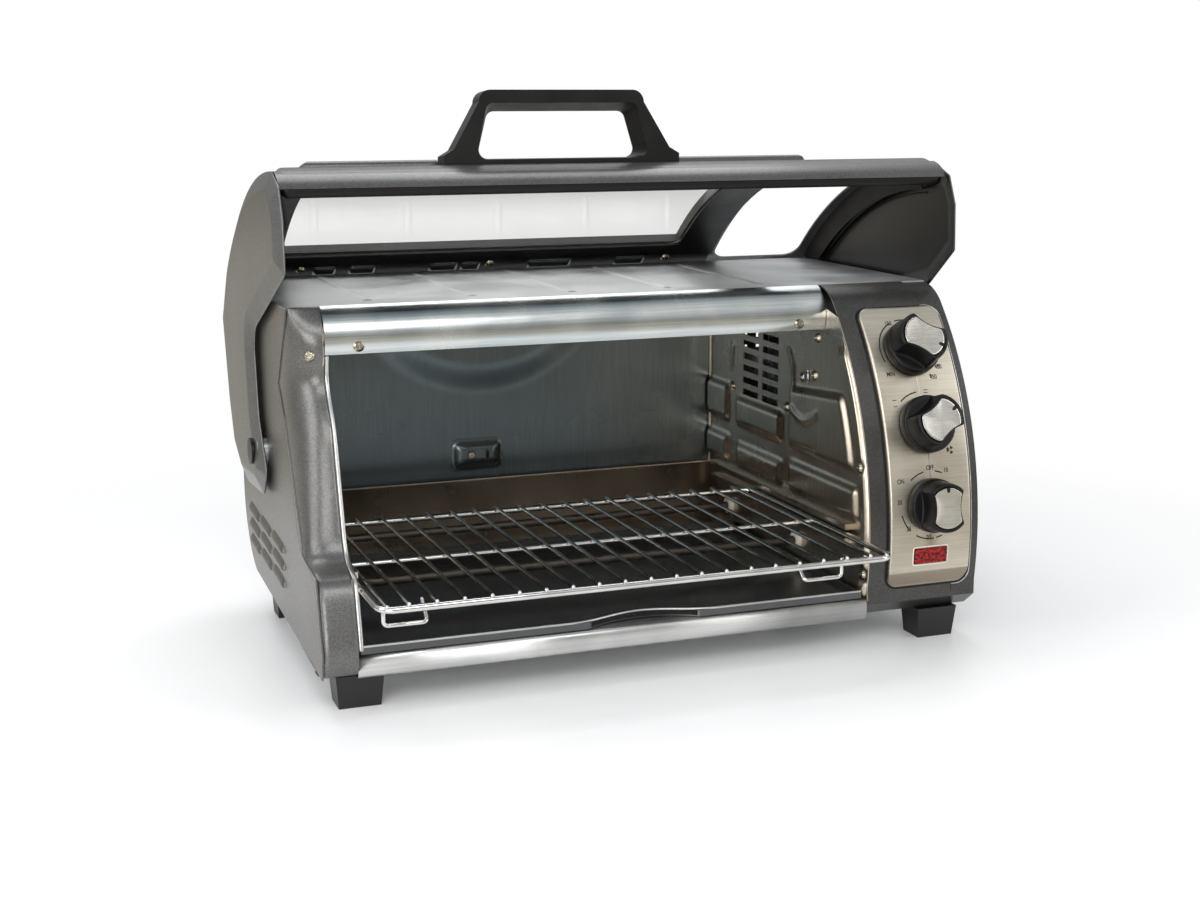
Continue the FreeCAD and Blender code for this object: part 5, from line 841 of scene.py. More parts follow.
def flat_join(shapes):
    """Flat marks as one: corners are counted on."""
    points, faces = joined([(np.c_[np.asarray(flat, float), np.zeros(len(flat))], some)
                            for flat, some in shapes])
    return points[:, :2], faces


def sign_bar(right, up):
    """One short bar of a sign, with its middle at (right, up)."""
    return SIGN_BAR + (right, up), [[0, 1, 2, 3]]


print("one arc of a dial:", len(ribbon(23.0, -14, 10)[1]), "faces")


# %% Marks of the three dials
marks = {
    "temperature": [
        ribbon(23.0, -14, 10), ribbon(23.0, -112, -26), ribbon(23.0, 148, 152, 1.6),
        ribbon(23.0, 122, 126, 1.6),
        lettering("150", 4.6, -11.0, 20.6), lettering("MIN", 4.6, -19.3, -17.6),
        lettering("400", 4.6, 19.0, -14.2), lettering("450", 4.6, 13.5, -21.4),
    ],
    "function": [
        ribbon(23.5, -42, -6), ribbon(23.5, 136, 140, 1.6),
        sign_bar(-20.5, 18.6), sign_bar(-20.5, 14.2), sign_bar(5.0, 24.6), sign_bar(5.0, 22.6),
    ],
    "timer": [
        ribbon(23.5, -40, -12), ribbon(23.5, 10, 24), ribbon(23.5, -104, -136),
        ribbon(23.5, -150, -186), ribbon(23.5, 170, 158),
        lettering("OFF", 4.4, 0.5, 25.6), lettering("10", 4.4, 12.8, 23.0),
        lettering("ON", 4.6, -23.0, 17.6), lettering("30", 4.6, -24.6, 3.4),
        lettering("25", 4.6, -17.6, -15.4), lettering("20", 4.6, -2.0, -22.6),
    ],
}
# The sign of moving air: three blades round a small ring.
AIR_SIGN = (17.6, -18.6)
blades = [ribbon(1.9, turn, turn + 62, 1.7) for turn in (0, 120, 240)]
marks["function"] += [(flat + AIR_SIGN, some)
                      for flat, some in blades + [ribbon(0.8, 0, 360, 0.2)]]
for dial, shapes in marks.items():
    flat, faces = flat_join(shapes)
    ink_piece(dial + "_marks", flat, faces, dial)

# %% [markdown]
# ## The door's lip
# The skin's front edge is rolled: a full round above, a crease, a narrow bright step and a dark
# hem below. One profile is drawn in the closed door's side view, from the skin round to the hem,
# carried from arm to arm, and drawn in toward its own middle over the last millimetres so that
# both ends are round.

# %% The lip's profile
# Each point is a share of the run from the skin to the hem, and a height in mm out from it.
LIP_HALF, LIP_ROUND, LIP_WALL = 236.4, 7.0, 1.9
lip_start, lip_end = np.array([-37.6 - SHIFT, 66.6]), np.array([-29.3 - SHIFT, 47.6])
lip_run = lip_end - lip_start
lip_out = np.array([lip_run[1], -lip_run[0]]) / np.linalg.norm(lip_run)
LIP_SHARES = [(-0.25, -0.6), (-0.12, 0.1), (0.0, 0.75), (0.12, 1.35), (0.25, 1.75), (0.38, 1.9),
              (0.5, 1.75), (0.6, 1.35), (0.67, 0.8), (0.715, 0.1), (0.735, -0.35), (0.755, -0.4),
              (0.775, -0.1), (0.79, 0.15), (0.83, 0.25), (0.9, 0.0), (0.96, -0.5), (1.0, -1.2)]
profile = [lip_start + share * lip_run + lift * lip_out for share, lift in LIP_SHARES]
tail = np.array([-23.5 - SHIFT, 49.2])
profile += [lip_end * 0.6 + tail * 0.4 - 1.3 * lip_out, tail,
            tail + (0.4, 1.2), lip_end * 0.5 + tail * 0.5 + (0.0, 1.8), lip_end + (1.4, 2.6)]
profile += [lip_start + share * lip_run - LIP_WALL * lip_out
            for share in (0.8, 0.5, 0.2, -0.1, -0.25)]
profile = np.array(profile)
middle = profile.mean(0)
print("points round the lip:", len(profile))

# %% The lip from arm to arm
# At a distance d from an end, the profile has the share sqrt(1 - (1 - d / round)^2) of its size.
inset = np.concatenate([LIP_ROUND * (1 - np.cos(np.radians(np.linspace(0, 90, 9))))[:-1],
                        np.linspace(LIP_ROUND, LIP_HALF, 40)])
sides = np.concatenate([-LIP_HALF + inset, (LIP_HALF - inset)[::-1][1:]])
rings = []
for x in sides:
    near = min(LIP_HALF - abs(x), LIP_ROUND) / LIP_ROUND
    share = max(math.sqrt(max(1 - (1 - near) ** 2, 0.0)), 0.05)
    ring = middle + (profile - middle) * share
    rings.append(opened(np.c_[np.full(len(ring), x), ring]))
points, faces = stack_of_rings(rings)
lip = new_piece("rolled_lip", points, faces, lip_paint, "door")
lip.data.materials.append(frame_enamel)
hem_start = len(LIP_SHARES) - 2
for face in lip.data.polygons[:(len(sides) - 1) * len(profile)]:
    face.material_index = int(face.index % len(profile) >= hem_start)

# %% [markdown]
# ## The left pillar
# The sheet between the opening and the case's left side turns through a soft fold that swells at
# the brow and cheek, pinches at the waist, and steps out over the lower box. Two lines are drawn
# down its front, one at the opening's edge and one at the side panel. Between them the sheet is a
# quarter of an ellipse, and both lines are smoothed so that every corner is pressed round.

# %% Lines down the pillar, as (depth, height) from top to bottom
JAMB = [(76, 243.9), (63, 230), (64, 213), (70, 197), (50, 170), (26, 90), (0, 84), (-12, 42),
        (-9.6, 21.9), (7, 22.6)]
FOLD = [(72, 243.9), (79, 230), (92, 212), (106, 191), (89, 171), (43, 90), (3, 86), (-12, 42),
        (-10.6, 21.2), (7, 22.6)]


def eased(first, second, step=2.0, window=4):
    """Two corner lines cut into the same number of steps, each point then the mean of its
    neighbours over the window, and the ends kept."""
    first, second = np.array(first, float), np.array(second, float)
    lines = []
    for line in (first, second):
        pieces = []
        for k in range(len(line) - 1):
            count = max(int(np.linalg.norm(first[k + 1] - first[k]) / step), 2)
            share = np.linspace(0, 1, count, endpoint=False)[:, None]
            pieces.append(line[k] * (1 - share) + line[k + 1] * share)
        lines.append(np.concatenate(pieces + [line[-1:]]))
    for _ in range(2):
        for k, line in enumerate(lines):
            padded = np.concatenate([2 * line[0] - line[window:0:-1], line,
                                     2 * line[-1] - line[-2:-window - 2:-1]])
            kernel = np.ones(2 * window + 1) / (2 * window + 1)
            lines[k] = np.stack([np.convolve(padded[:, axis], kernel, "valid")
                                 for axis in (0, 1)], -1)
    return lines


def line_at(x, line, depth=0.0):
    """A line of (depth, height) set at an x, and moved back by a depth."""
    return np.c_[np.full(len(line), x), line + (depth - SHIFT, 0)]


jamb, fold = eased(JAMB, FOLD)
print("points down the pillar:", len(jamb))

# %% The pillar's sheet
PILLAR_INNER, PILLAR_REACH, PILLAR_SHEET = 210.6, 21.2, 1.3
CORNER_START, CORNER_REACH, CORNER_DEPTH = 227.5, 4.6, 4.2
columns = [line_at(x, jamb, depth)
           for x, depth in ((-209.5, 3.0), (-209.4, 1.0), (-209.7, 0.2), (-210.1, -0.15))]
for turn in np.radians(np.linspace(0, 90, 25)):
    x = -PILLAR_INNER - PILLAR_REACH * math.sin(turn)
    corner_share = np.clip((abs(x) - CORNER_START) / CORNER_REACH, 0, 1)
    columns.append(line_at(x, jamb * math.cos(turn) + fold * (1 - math.cos(turn)),
                           CORNER_DEPTH * (1 - math.sqrt(1 - corner_share ** 2))))
columns += [line_at(x, fold, depth)
            for x, depth in ((-232.2, 5.2), (-232.65, 6.4), (-232.65, 7.2), (-232.3, 7.4))]
points = np.stack(columns, 1)
backs = points + (0.0, PILLAR_SHEET, 0.0)
backs[..., 0] = np.clip(backs[..., 0], -231.4, -209.0)
points, faces = stack_of_rings(np.concatenate([points, backs[:, ::-1]], 1))
pillar = new_piece("pressed_pillar", points, flipped(faces), pillar_paint, "casing")
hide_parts("left_pillar")

# %% The liner's bright flange beside the pillar
FLANGE_LOW, FLANGE_HIGH = 38.0, 214.0
part = jamb[(jamb[:, 1] < FLANGE_HIGH) & (jamb[:, 1] > FLANGE_LOW)]
points, faces = stack_of_rings(np.stack([line_at(x, part, depth) for x, depth in (
    (-209.6, 2.4), (-209.2, 1.2), (-208.4, 0.7), (-206.9, 0.9), (-206.3, 1.6), (-206.2, 7.0),
    (-207.0, 7.0), (-207.2, 2.4), (-208.6, 2.2))], 1))
new_piece("left_liner_flange", points, flipped(faces), sill_steel, "casing")

# %% [markdown]
# ## Louvre hoods
# Each slot in the case's sides is cut under a pressed hood, so that dust falls past it and hot air
# rises out. With u from 0 to 1 along the slot and v from 0 to 1 up it, a hood stands out by
# bulge * sqrt(1 - |2u - 1|^7) * cos(v * 90 degrees)^1.1, and its lower edge is left open.

# %% Hoods on both sides
SIDE_OUT, HOOD_BULGE, HOOD_SHEET = 232.45, 2.5, 0.6
HOOD_LONG, HOOD_TALL, HOOD_TILT = 42.0, 6.2, 2.0
FIRST_HOOD, HOOD_STEP = (105.5 - SHIFT, 51.8), (46.0, 12.0)
along, rise = np.linspace(0, 1, 33)[:, None], np.linspace(0, 1, 11)[None, :]
ends = np.sqrt(np.maximum(1 - np.abs(2 * along - 1) ** 7, 0))
bulge = HOOD_BULGE * ends * np.cos(rise * np.pi / 2) ** 1.1


def hood(side, column, row):
    """One hood as a thin closed sheet: its outer face, and behind it the inner one."""
    y = FIRST_HOOD[0] + HOOD_STEP[0] * column + HOOD_LONG * along
    z = (FIRST_HOOD[1] + HOOD_STEP[1] * row + HOOD_TILT * along
         + HOOD_TALL * rise * ends ** 0.7)
    outer = np.stack(np.broadcast_arrays(side * (SIDE_OUT + bulge), y, z), -1)
    inner = outer - (side * HOOD_SHEET, 0, 0)
    inner[..., 0] = side * np.maximum(np.abs(inner[..., 0]), SIDE_OUT - 0.65)
    points, faces = stack_of_rings(np.concatenate([outer, inner[:, ::-1]], 1))
    return points, flipped(faces) if side > 0 else faces


for side, name, paint in ((-1, "left_louvre_hoods", case_paint),
                          (1, "right_louvre_hoods", frame_paint)):
    points, faces = joined([hood(side, column, row) for column in range(3) for row in range(3)])
    new_piece(name, points, faces, paint, "casing")

# %% [markdown]
# ## The door's arms
# Each arm is a stamped plate with a flat field, a border that slopes down to the rim, and a hollow
# behind. It is a nest of outlines, each the same one moved inwards. A corner moves by
# distance * (n1 + n2) / (1 + n1 . n2), where n1 and n2 are the normals of its two edges, and is
# then rounded by its own radius.

# %% Outlines of an arm
# The edge along the skin is an arc. The rest are corners (depth, height) with their rounding.
ARM_SKIN = [(SKIN_Y - SKIN_RADIUS * math.cos(a), SKIN_Z + SKIN_RADIUS * math.sin(a))
            for a in np.radians(np.linspace(7.0, 48.0, 24))]
ARM_REST = [((97, 268), 14), ((160, 242), 30), ((190, 222), 16), ((203, 186), 24),
            ((192, 118), 13), ((172, 106), 8), ((140, 134), 14), ((84, 149), 22)]
RIGHT_SWELL = [((51, 58), 8)]
ARM_FOOT = [((20, 28), 4), ((-12, 33), 5), ((-31, 44), 4)]


def moved_corners(corners, distance):
    """A closed line's corners moved inwards; the line runs clockwise in (y, z)."""
    corners = np.asarray(corners, float)
    run = np.roll(corners, -1, 0) - corners
    run /= np.linalg.norm(run, axis=1)[:, None]
    normal = np.stack([run[:, 1], -run[:, 0]], -1)
    before = np.roll(normal, 1, 0)
    both = 1 + (normal * before).sum(1)
    return corners + distance * (normal + before) / both[:, None]


def arm_ring(corners, radii, distance, x):
    """One outline as points of the open door: closed side view first, then turned back. An outer
    corner's rounding shrinks by the distance, and an inner one grows by 0.6 of it."""
    moved = moved_corners(corners, distance)
    turn = []
    for k in range(len(moved)):
        back, ahead = moved[k] - moved[k - 1], moved[(k + 1) % len(moved)] - moved[k]
        turn.append(back[0] * ahead[1] - back[1] * ahead[0])
    sizes = [0 if r == 0 else max(r - distance, 0.6) if bend < 0 else r + distance * 0.6
             for r, bend in zip(radii, turn)]
    flat = np.c_[np.zeros(len(moved)), moved]
    line = rounded_path(flat, sizes, True, 6)
    line[:, 0] = x
    line[:, 1] -= SHIFT
    return opened(line)


print("corners of an arm:", len(ARM_SKIN) + len(ARM_REST) + len(ARM_FOOT))

# %% An arm's rings
# Distance in from the rim and place across, from the hollow's middle round the rim to the field.
ARM_RINGS = [(14.6, 240.0), (13.2, 239.9), (12.0, 239.6), (3.2, 236.5), (2.6, 236.1),
             (2.3, 236.0), (0.4, 236.0), (0.1, 236.15), (0.0, 236.5), (0.05, 236.9),
             (0.3, 237.25), (0.8, 237.5), (11.3, 241.15), (12.2, 241.4), (13.2, 241.55),
             (14.6, 241.6)]
# The round boss inside each arm, about the hinge's pin: reach and place across.
BOSS_RINGS = [(10.6, 240.2), (12.0, 239.0), (12.0, 236.4), (11.7, 236.1), (4.2, 236.1)]


def boss(side):
    """Rings about the hinge: hinge + reach * (cos a, sin a)."""
    turn = circle_of(40)
    return stack_of_rings([np.stack([np.full(40, side * x), HINGE[0] + reach * np.cos(turn),
                                     HINGE[1] + reach * np.sin(turn)], -1)
                           for reach, x in BOSS_RINGS])


print("rings of an arm:", len(ARM_RINGS), "and of its boss:", len(BOSS_RINGS))

# %% Both arms
for side, name, paint in ((-1, "left", left_arm_paint), (1, "right", right_arm_paint)):
    swell = RIGHT_SWELL if side > 0 else []
    shape = [(spot, 0) for spot in ARM_SKIN] + ARM_REST + swell + ARM_FOOT
    corners, radii = zip(*shape)
    points, faces = stack_of_rings([arm_ring(corners, radii, distance, side * x)
                                    for distance, x in ARM_RINGS])
    boss_points, boss_faces = boss(side)
    if side > 0:
        faces = flipped(faces)
    else:
        boss_faces = flipped(boss_faces)
    points, faces = joined([(points, faces), (boss_points, boss_faces)])
    arm = new_piece("stamped_arm_" + name, points, faces, paint, "door")
    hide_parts("door_arm_" + name)

# %% Relief inside the right arm
# A pressed band follows the skin, with a pair of dimples each three degrees, and a fine line
# runs along its inner side.
BAND_TOP, DIMPLE, DIMPLE_REACH, LINE_REACH = 239.25, 0.9, 265.0, 257.0
DEGREE_MM = 4.6                    # length of one degree along the band
angles = np.linspace(10.0, 46.5, 74)
reach = np.array([268.4, 268.0, 267.2, 262.8, 262.0, 261.6])
across = np.array([239.95, 239.5, 239.2, 239.2, 239.5, 239.95])


def dimple(angle):
    """Half a ball: at a share s of its radius it stands radius * sqrt(1 - s^2) off the band."""
    turn = circle_of(10)
    return stack_of_rings([
        on_door(BAND_TOP - DIMPLE * math.sqrt(1 - share ** 2),
                DIMPLE_REACH - SKIN_RADIUS + DIMPLE * share * np.cos(turn),
                angle + DIMPLE * share * np.sin(turn) / DEGREE_MM)
        for share in (1.0, 0.92, 0.7, 0.4, 0.1)])


band = on_door(across[None, :], (reach - SKIN_RADIUS)[None, :], angles[:, None])
shapes = [(band, flipped(grid_faces(*band.shape[:2]).tolist())),
          wire(on_door(239.7, LINE_REACH - SKIN_RADIUS, angles), 0.7, RIGHT, False, 8)]
shapes += [dimple(angle + more) for angle in np.arange(11.5, 46.0, 3.0) for more in (0.0, 0.75)]
points, faces = joined(shapes)
new_piece("right_arm_relief", points, faces, frame_enamel, "door")

# %% [markdown]
# ## Pressings in the cavity
# The right wall is pressed with raised bays between the rack's rails, a turned flange along its
# curved front with a scallop round each screw, and short curved ribs. The back is pressed with a
# round field and bent forward at its left. Each is one sheet of points over the flat wall whose
# height is a sum of smooth steps. It sinks under the wall at its borders. The wall's screws sit
# in flats that the relief leaves round them.


# %% Smooth steps
def step(value, start, width):
    """0 before start, 1 after start + width, and 3 t^2 - 2 t^3 between."""
    share = np.clip((value - start) / width, 0, 1)
    return share * share * (3 - 2 * share)


def bay(y, z, box, soft=5.0):
    """1 inside a box (y0, y1, z0, z1), falling to 0 over the soft width inside each side."""
    return (step(y, box[0], soft) * (1 - step(y, box[1] - soft, soft))
            * step(z, box[2], soft) * (1 - step(z, box[3] - soft, soft)))


def near_line(y, z, corners, width):
    """1 on a line of corners, falling away as exp(-(distance / width)^2)."""
    corners = np.array(corners, float)
    best = np.full(y.shape, 1e9)
    for k in range(len(corners) - 1):
        run = corners[k + 1] - corners[k]
        share = np.clip(((y - corners[k, 0]) * run[0] + (z - corners[k, 1]) * run[1])
                        / (run @ run), 0, 1)
        away = np.hypot(y - corners[k, 0] - share * run[0], z - corners[k, 1] - share * run[1])
        best = np.minimum(best, away)
    return np.exp(-(best / width) ** 2)


def sunk_border(height):
    """The heights with the sheet's outer rows and columns just under the flat wall."""
    height[[0, -1]] = -0.2
    height[:, [0, -1]] = -0.2
    return height


def lines_with(start, stop, spacing, edges):
    """Numbers from start to stop at about that spacing which hit every edge."""
    marks = [start, *edges, stop]
    out = [np.linspace(a, b, max(int(round((b - a) / spacing)), 1), endpoint=False)
           for a, b in zip(marks[:-1], marks[1:])]
    return np.append(np.concatenate(out), stop)


print("halfway up a step of 5 mm:", step(2.5, 0.0, 5.0))

# %% The right wall's grid, with lines on the edges of all its vents
WALL_X, WALL_LOW, WALL_HIGH, WALL_REAR = 146.0, 36.6, 212.5, 257.6
STRAIGHT_FROM, REAR_CUT = 62.0, 80.0
VENTS_Y = [(134.5 + 34.0 * k, 161.5 + 34.0 * k) for k in range(2)]
VENTS_Z = [(146.0 + 9.5 * k, 151.0 + 9.5 * k) for k in range(6)]
columns = lines_with(STRAIGHT_FROM, WALL_REAR, 2.0, np.ravel(VENTS_Y))
levels = lines_with(WALL_LOW, WALL_HIGH, 1.6, np.ravel(VENTS_Z))
# Along its front the wall follows the panel's circle, and low at the rear it is cut slanting.
front = PANEL_Y - np.sqrt((PANEL_RADIUS - 0.2) ** 2 - (levels - PANEL_Z) ** 2) + 0.3
share = np.linspace(0, 1, 44, endpoint=False)[None, :]
y = np.concatenate([front[:, None] * (1 - share) + STRAIGHT_FROM * share,
                    np.broadcast_to(columns, (len(levels), len(columns)))], 1)
rear = WALL_REAR - np.maximum(REAR_CUT - levels, 0) * 44.0 / 44.4
y = np.minimum(y, rear[:, None])
z = np.broadcast_to(levels[:, None], y.shape)
print("rows and columns of the right wall:", y.shape)

# %% The right wall's relief
# Each bay is a box (y0, y1, z0, z1). Bays near the front also end along the panel's circle.
BAY_RISE, BAY_SOFT, FLANGE_RISE, RIB_RISE, WALL_GAP = 3.4, 7, 2.4, 1.5, 0.25
BAYS = [(216, 300, 119, 153), (122, 207, 119, 146), (122, 205, 86, 109), (216, 300, 86, 112)]
LONG_BAY, LOW_BAY = (-20, 115, 120, 178), (-20, 114, 86, 113)
RIBS = [[(117, 192), (110, 182), (108.5, 166)], [(213.6, 182), (215.6, 165.8)],
        [(106, 151), (97, 146.5), (86, 144.4), (76, 147), (67, 152)]]
# The wall's screws: distance in from the panel's circle in mm, and angle on it in degrees.
SCREWS = [(69.5, 36.4), (51.7, 34.0), (104.1, 33.7), (162.6, 74.7), (32.5, 39.7), (8.8, 13.3),
          (6.0, -4.6)]
bow = np.hypot(PANEL_Y - y, z - PANEL_Z)
long_bay = (bay(y, z, LONG_BAY, BAY_SOFT) * (1 - step(bow, 222.0, 7.0))
            * (1 - step(z - 0.08 * (113 - y), 160.0, 8.0)))
low_bay = bay(y, z, LOW_BAY, BAY_SOFT) * (1 - step(bow, 226.0, 6.0))
height = BAY_RISE * (sum(bay(y, z, box, BAY_SOFT) for box in BAYS) + long_bay + low_bay)
height += FLANGE_RISE * step(bow, 232.5, 4.0) * (1 - step(z, 198.0, 9.0))
height += RIB_RISE * sum(near_line(y, z, corners, 2.2) for corners in RIBS)
spots = [on_panel(0.0, -inset, angle)[1:] for inset, angle in SCREWS]
for spot_y, spot_z in spots:
    height *= step(np.hypot(y - SHIFT - spot_y, z - spot_z), 5.2, 2.4)
height = sunk_border(height + WALL_GAP)
print("highest point of the wall's relief:", height.max().round(2), "mm")

# %% The right wall's sheet, without the faces that lie in a vent or have no width
points = np.stack([WALL_X - height, y - SHIFT, z], -1)
faces = grid_faces(*y.shape)
corner_y, corner_z = y.ravel()[faces], z.ravel()[faces]
middle_y, middle_z = corner_y.mean(1), corner_z.mean(1)
keep = (corner_y.max(1) - corner_y.min(1)) > 1e-6
for low_y, high_y in VENTS_Y:
    for low_z, high_z in VENTS_Z:
        keep &= ~((middle_y > low_y) & (middle_y < high_y) & (middle_z > low_z)
                  & (middle_z < high_z))
new_piece("pressed_right_wall", points, faces[keep][:, ::-1], liner_steel, "casing")

# %% The clip between the two screws near the vents
CLIP_RING, CLIP_WIRE, CLIP_BAR, RING_X, BAR_X = 3.4, 0.8, 4.0, 143.4, 144.6
clip_y, clip_z = (spots[0] + spots[1]) / 2
turn = circle_of(32)
ring = np.stack([np.full(32, RING_X), clip_y + CLIP_RING * np.cos(turn),
                 clip_z + CLIP_RING * np.sin(turn)], -1)
bar = np.array([(BAR_X, clip_y, clip_z + rise) for rise in (-CLIP_BAR, 0.0, CLIP_BAR)])
points, faces = joined([wire(ring, CLIP_WIRE, RIGHT, True), wire(bar, CLIP_WIRE, RIGHT)])
new_piece("sensor_clip", points, faces, bright_steel, "casing")

# %% Back wall
# A round field high in the middle, the bend at the left, and the latch plate: a flat with a
# second, lower one on it.
BACK_Y, BEND_X, BEND_RISE = 258.0, -176.0, 13.0
x, z = np.meshgrid(np.linspace(-209.8, 145.8, 190), np.linspace(80.2, 230.8, 84))
round_field = 1 - step(np.hypot(x + 48.0, z - 265.0), 92.0, 26.0)
height = (BAY_RISE * round_field + BEND_RISE * step(-x, -BEND_X, 34.0)
          + 2.6 * bay(x, z, (-73.0, -33.0, 89.5, 112.5), 5.0)
          + 1.0 * bay(x, z, (-67.5, -38.5, 94.0, 108.0), 1.6))
height = sunk_border(height + 0.3)
points = np.stack([x, BACK_Y - SHIFT - height, z], -1)
back_wall = new_piece("pressed_back_wall", points, grid_faces(*x.shape), back_metal_painted_shade, "casing")
# The flat back takes the darker painted-shade copy of the liner steel, and the bend at the left
# takes the lighter liner steel: lit and shaded copies of one metal.
back_wall.data.materials.append(liner_steel)
for face in back_wall.data.polygons:
    face.material_index = int(face.center.x < BEND_X * MM)


# %% [markdown]
# ## A pan-head screw
# A shallow dome with a cross pressed into it: the dome is a disc of rings whose height is
# rise * (1 - r^4), and the cross is cut where a point lies near either of two lines.

# %% Screws on the pillar and on the latch plate
HEAD_SKIRT, CROSS_HALF, CROSS_SHARE, CROSS_DEPTH = 0.6, 0.5, 0.67, 0.9


def pan_head(place, out, across, radius=3.6, rise=1.7):
    """Rings of points round an axis `out` through a place, `across` being one arm of the cross.
    A point (a, b) is place + a * across + b * side + height * out."""
    place, out, across = (np.array(value, float) for value in (place, out, across))
    side = np.cross(out, across)
    turn = circle_of(64)
    rings = [place + radius * (np.cos(turn)[:, None] * across + np.sin(turn)[:, None] * side)
             - HEAD_SKIRT * out]
    for share in (1.0, 0.98, 0.93, 0.85, 0.75, 0.68, 0.66, 0.5, 0.35, 0.22, 0.2, 0.1, 0.02):
        a, b = share * radius * np.cos(turn), share * radius * np.sin(turn)
        cut = (np.minimum(np.abs(a), np.abs(b)) < CROSS_HALF) & (share < CROSS_SHARE)
        high = rise * (1 - share ** 4) - CROSS_DEPTH * cut
        rings.append(place + a[:, None] * across + b[:, None] * side + high[:, None] * out)
    return stack_of_rings(rings)


LATCH_Y, LATCH_Z = 254.0 - SHIFT, 101.0
points, faces = joined([
    pan_head((-219.0, 66.2 - SHIFT, 214.0), (-0.35, -0.9, 0.25), (0.0, 0.27, 0.963)),
    pan_head((-58.2, LATCH_Y, LATCH_Z), (0, -1, 0), (1, 0, 0), 3.2, 1.4)])
new_piece("pan_head_screws", points, faces, screw_brass, "casing")

# %% The slot beside the latch plate's screw, drawn as a thin black pill of painted shade
SLOT_X, SLOT_HALF, SLOT_TALL = -45.4, 1.6, 3.4
flat = rounded_rectangle(SLOT_HALF, -SLOT_TALL, SLOT_TALL, 1.5)
points, faces = stack_of_rings([
    np.stack([SLOT_X + flat[:, 0] * narrow, np.full(len(flat), LATCH_Y + back),
              LATCH_Z + flat[:, 1] * short], -1)
    for narrow, short, back in ((1.0, 1.0, 0.15), (0.9, 0.95, -0.05))])
new_piece("latch_slot_painted_shade", points, faces, frame_enamel, "casing")

# %% [markdown]
# ## The sill and the tray's edge
# The sill is a bar of brushed steel folded with soft edges and a slight swell on its face. The
# tray's front edge is rolled into a bead that dips back round the finger notch by a raised cosine:
# depth * (1 + cos(pi * u)) / 2, where u runs from -1 to 1 across the notch.

# %% Sill
# The section as (depth, height): down the outer face, then up the inner one.
section = [(7.0, 35.9), (-4.5, 35.9), (-6.4, 35.6), (-7.5, 34.8), (-8.15, 33.5), (-8.45, 31.0),
           (-8.55, 28.8), (-8.45, 26.4), (-8.1, 24.2), (-7.4, 22.7), (-6.2, 21.8), (-4.4, 21.5),
           (7.0, 21.5)]
section += [(7.0, 22.3), (-4.2, 22.3), (-6.8, 24.4), (-7.6, 28.8), (-6.8, 33.6), (-4.2, 35.1),
            (7.0, 35.1)]
section = np.array(section) - (SHIFT, 0)
rings = [np.c_[np.full(len(section), x), section]
         for x in np.linspace(-209.7, 145.7, 3)]
points, faces = stack_of_rings(rings)
sill = new_piece("folded_sill", points, faces, sill_steel, "casing")
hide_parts("sill_bar")

# %% The tray's rolled edge
NOTCH_X, NOTCH_HALF, NOTCH_DEPTH, BEAD_WIRE = -17.0, 52.0, 12.0, 0.8
TRAY_FRONT, TRAY_TOP = -4.6 - SHIFT, 41.2
x = np.linspace(-206.4, 142.4, 140)
across = np.clip((x - NOTCH_X) / NOTCH_HALF, -1, 1)
bead = np.stack([x, TRAY_FRONT + NOTCH_DEPTH * (1 + np.cos(np.pi * across)) / 2,
                 np.full(len(x), TRAY_TOP)], -1)
points, faces = wire(bead, BEAD_WIRE, UP, False, 10)
new_piece("tray_bead", points, faces, sill_steel, "tray")

# %% [markdown]
# ## The pilot lens
# The lens is a red bar with four rows of shallow pyramids behind its face and a pale rim.

# %% Lens and rim
LENS_ANGLE, LENS_LIFT = -1.7, PLATE_LIFT + 1.5
LENS_HALF, LENS_TALL, LENS_SHAPE = 13.0, 5.75, 0.44
FACET_WIDE, FACET_TALL, FACET_RISE = 2.6, 2.3, 0.3
u, v = np.meshgrid(np.linspace(-1, 1, 105), np.linspace(-1, 1, 49))
facets = np.minimum(np.abs((u * LENS_HALF / FACET_WIDE) % 2 - 1),
                    np.abs((v * LENS_TALL / FACET_TALL) % 2 - 1))
# The border's distance as a share of the lens's half width, where its lift falls off steeply.
border = np.minimum(1 - np.abs(u), (1 - np.abs(v)) * LENS_SHAPE)
lift = LENS_LIFT * np.clip(border / 0.05, 0, 1) ** 0.35 + FACET_RISE * facets * (border > 0.06)
lens = new_piece("faceted_lens",
                 on_panel(KNOB_X + u * LENS_HALF, lift, LENS_ANGLE + v * LENS_TALL / arc_mm),
                 grid_faces(*u.shape)[:, ::-1], red_lens, "casing")
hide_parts("pilot_lens")
loop = rounded_rectangle(LENS_HALF + 0.6, -LENS_TALL - 0.65, LENS_TALL + 0.65, 1.6)
rim = on_panel(KNOB_X + loop[:, 0], PLATE_LIFT + 0.1, LENS_ANGLE + loop[:, 1] / arc_mm)
outwards = on_panel(0.0, 1.0, LENS_ANGLE) - on_panel(0.0, 0.0, LENS_ANGLE)
points, faces = wire(rim, 0.42, outwards, True, 10)
new_piece("lens_rim", points, faces, ceramic, "casing")

# %% Pressed pads on the door's rear strip, lighter than the strip as painted highlight
# Shallow pads stiffen the black strip behind the window. Each is a bay of the same smooth steps.
PADS = [(-176, -158), (-149, -128), (-87, -64), (-62, -46), (-8, 28), (64, 90)]
PAD_STRETCH, PAD_LOW, PAD_HIGH = 5.0, 247.4, 258.4
STRIP_LIFT, PAD_RISE = -2.5, 1.7
x, turn = np.meshgrid(np.linspace(-179.0, 93.0, 273), np.linspace(49.3, 51.9, 25))
pads = sum(bay(x, turn * PAD_STRETCH, (left, right, PAD_LOW, PAD_HIGH), 3.0)
           for left, right in PADS)
points = on_door(x, STRIP_LIFT - PAD_RISE * np.clip(pads, 0, 1), turn)
# The pads take the lighter grey enamel though they are pressed from the black strip: a painted
# highlight where they catch the light.
new_piece("strip_pads_painted_highlight", points, grid_faces(*x.shape)[:, ::-1], tray_enamel, "door")

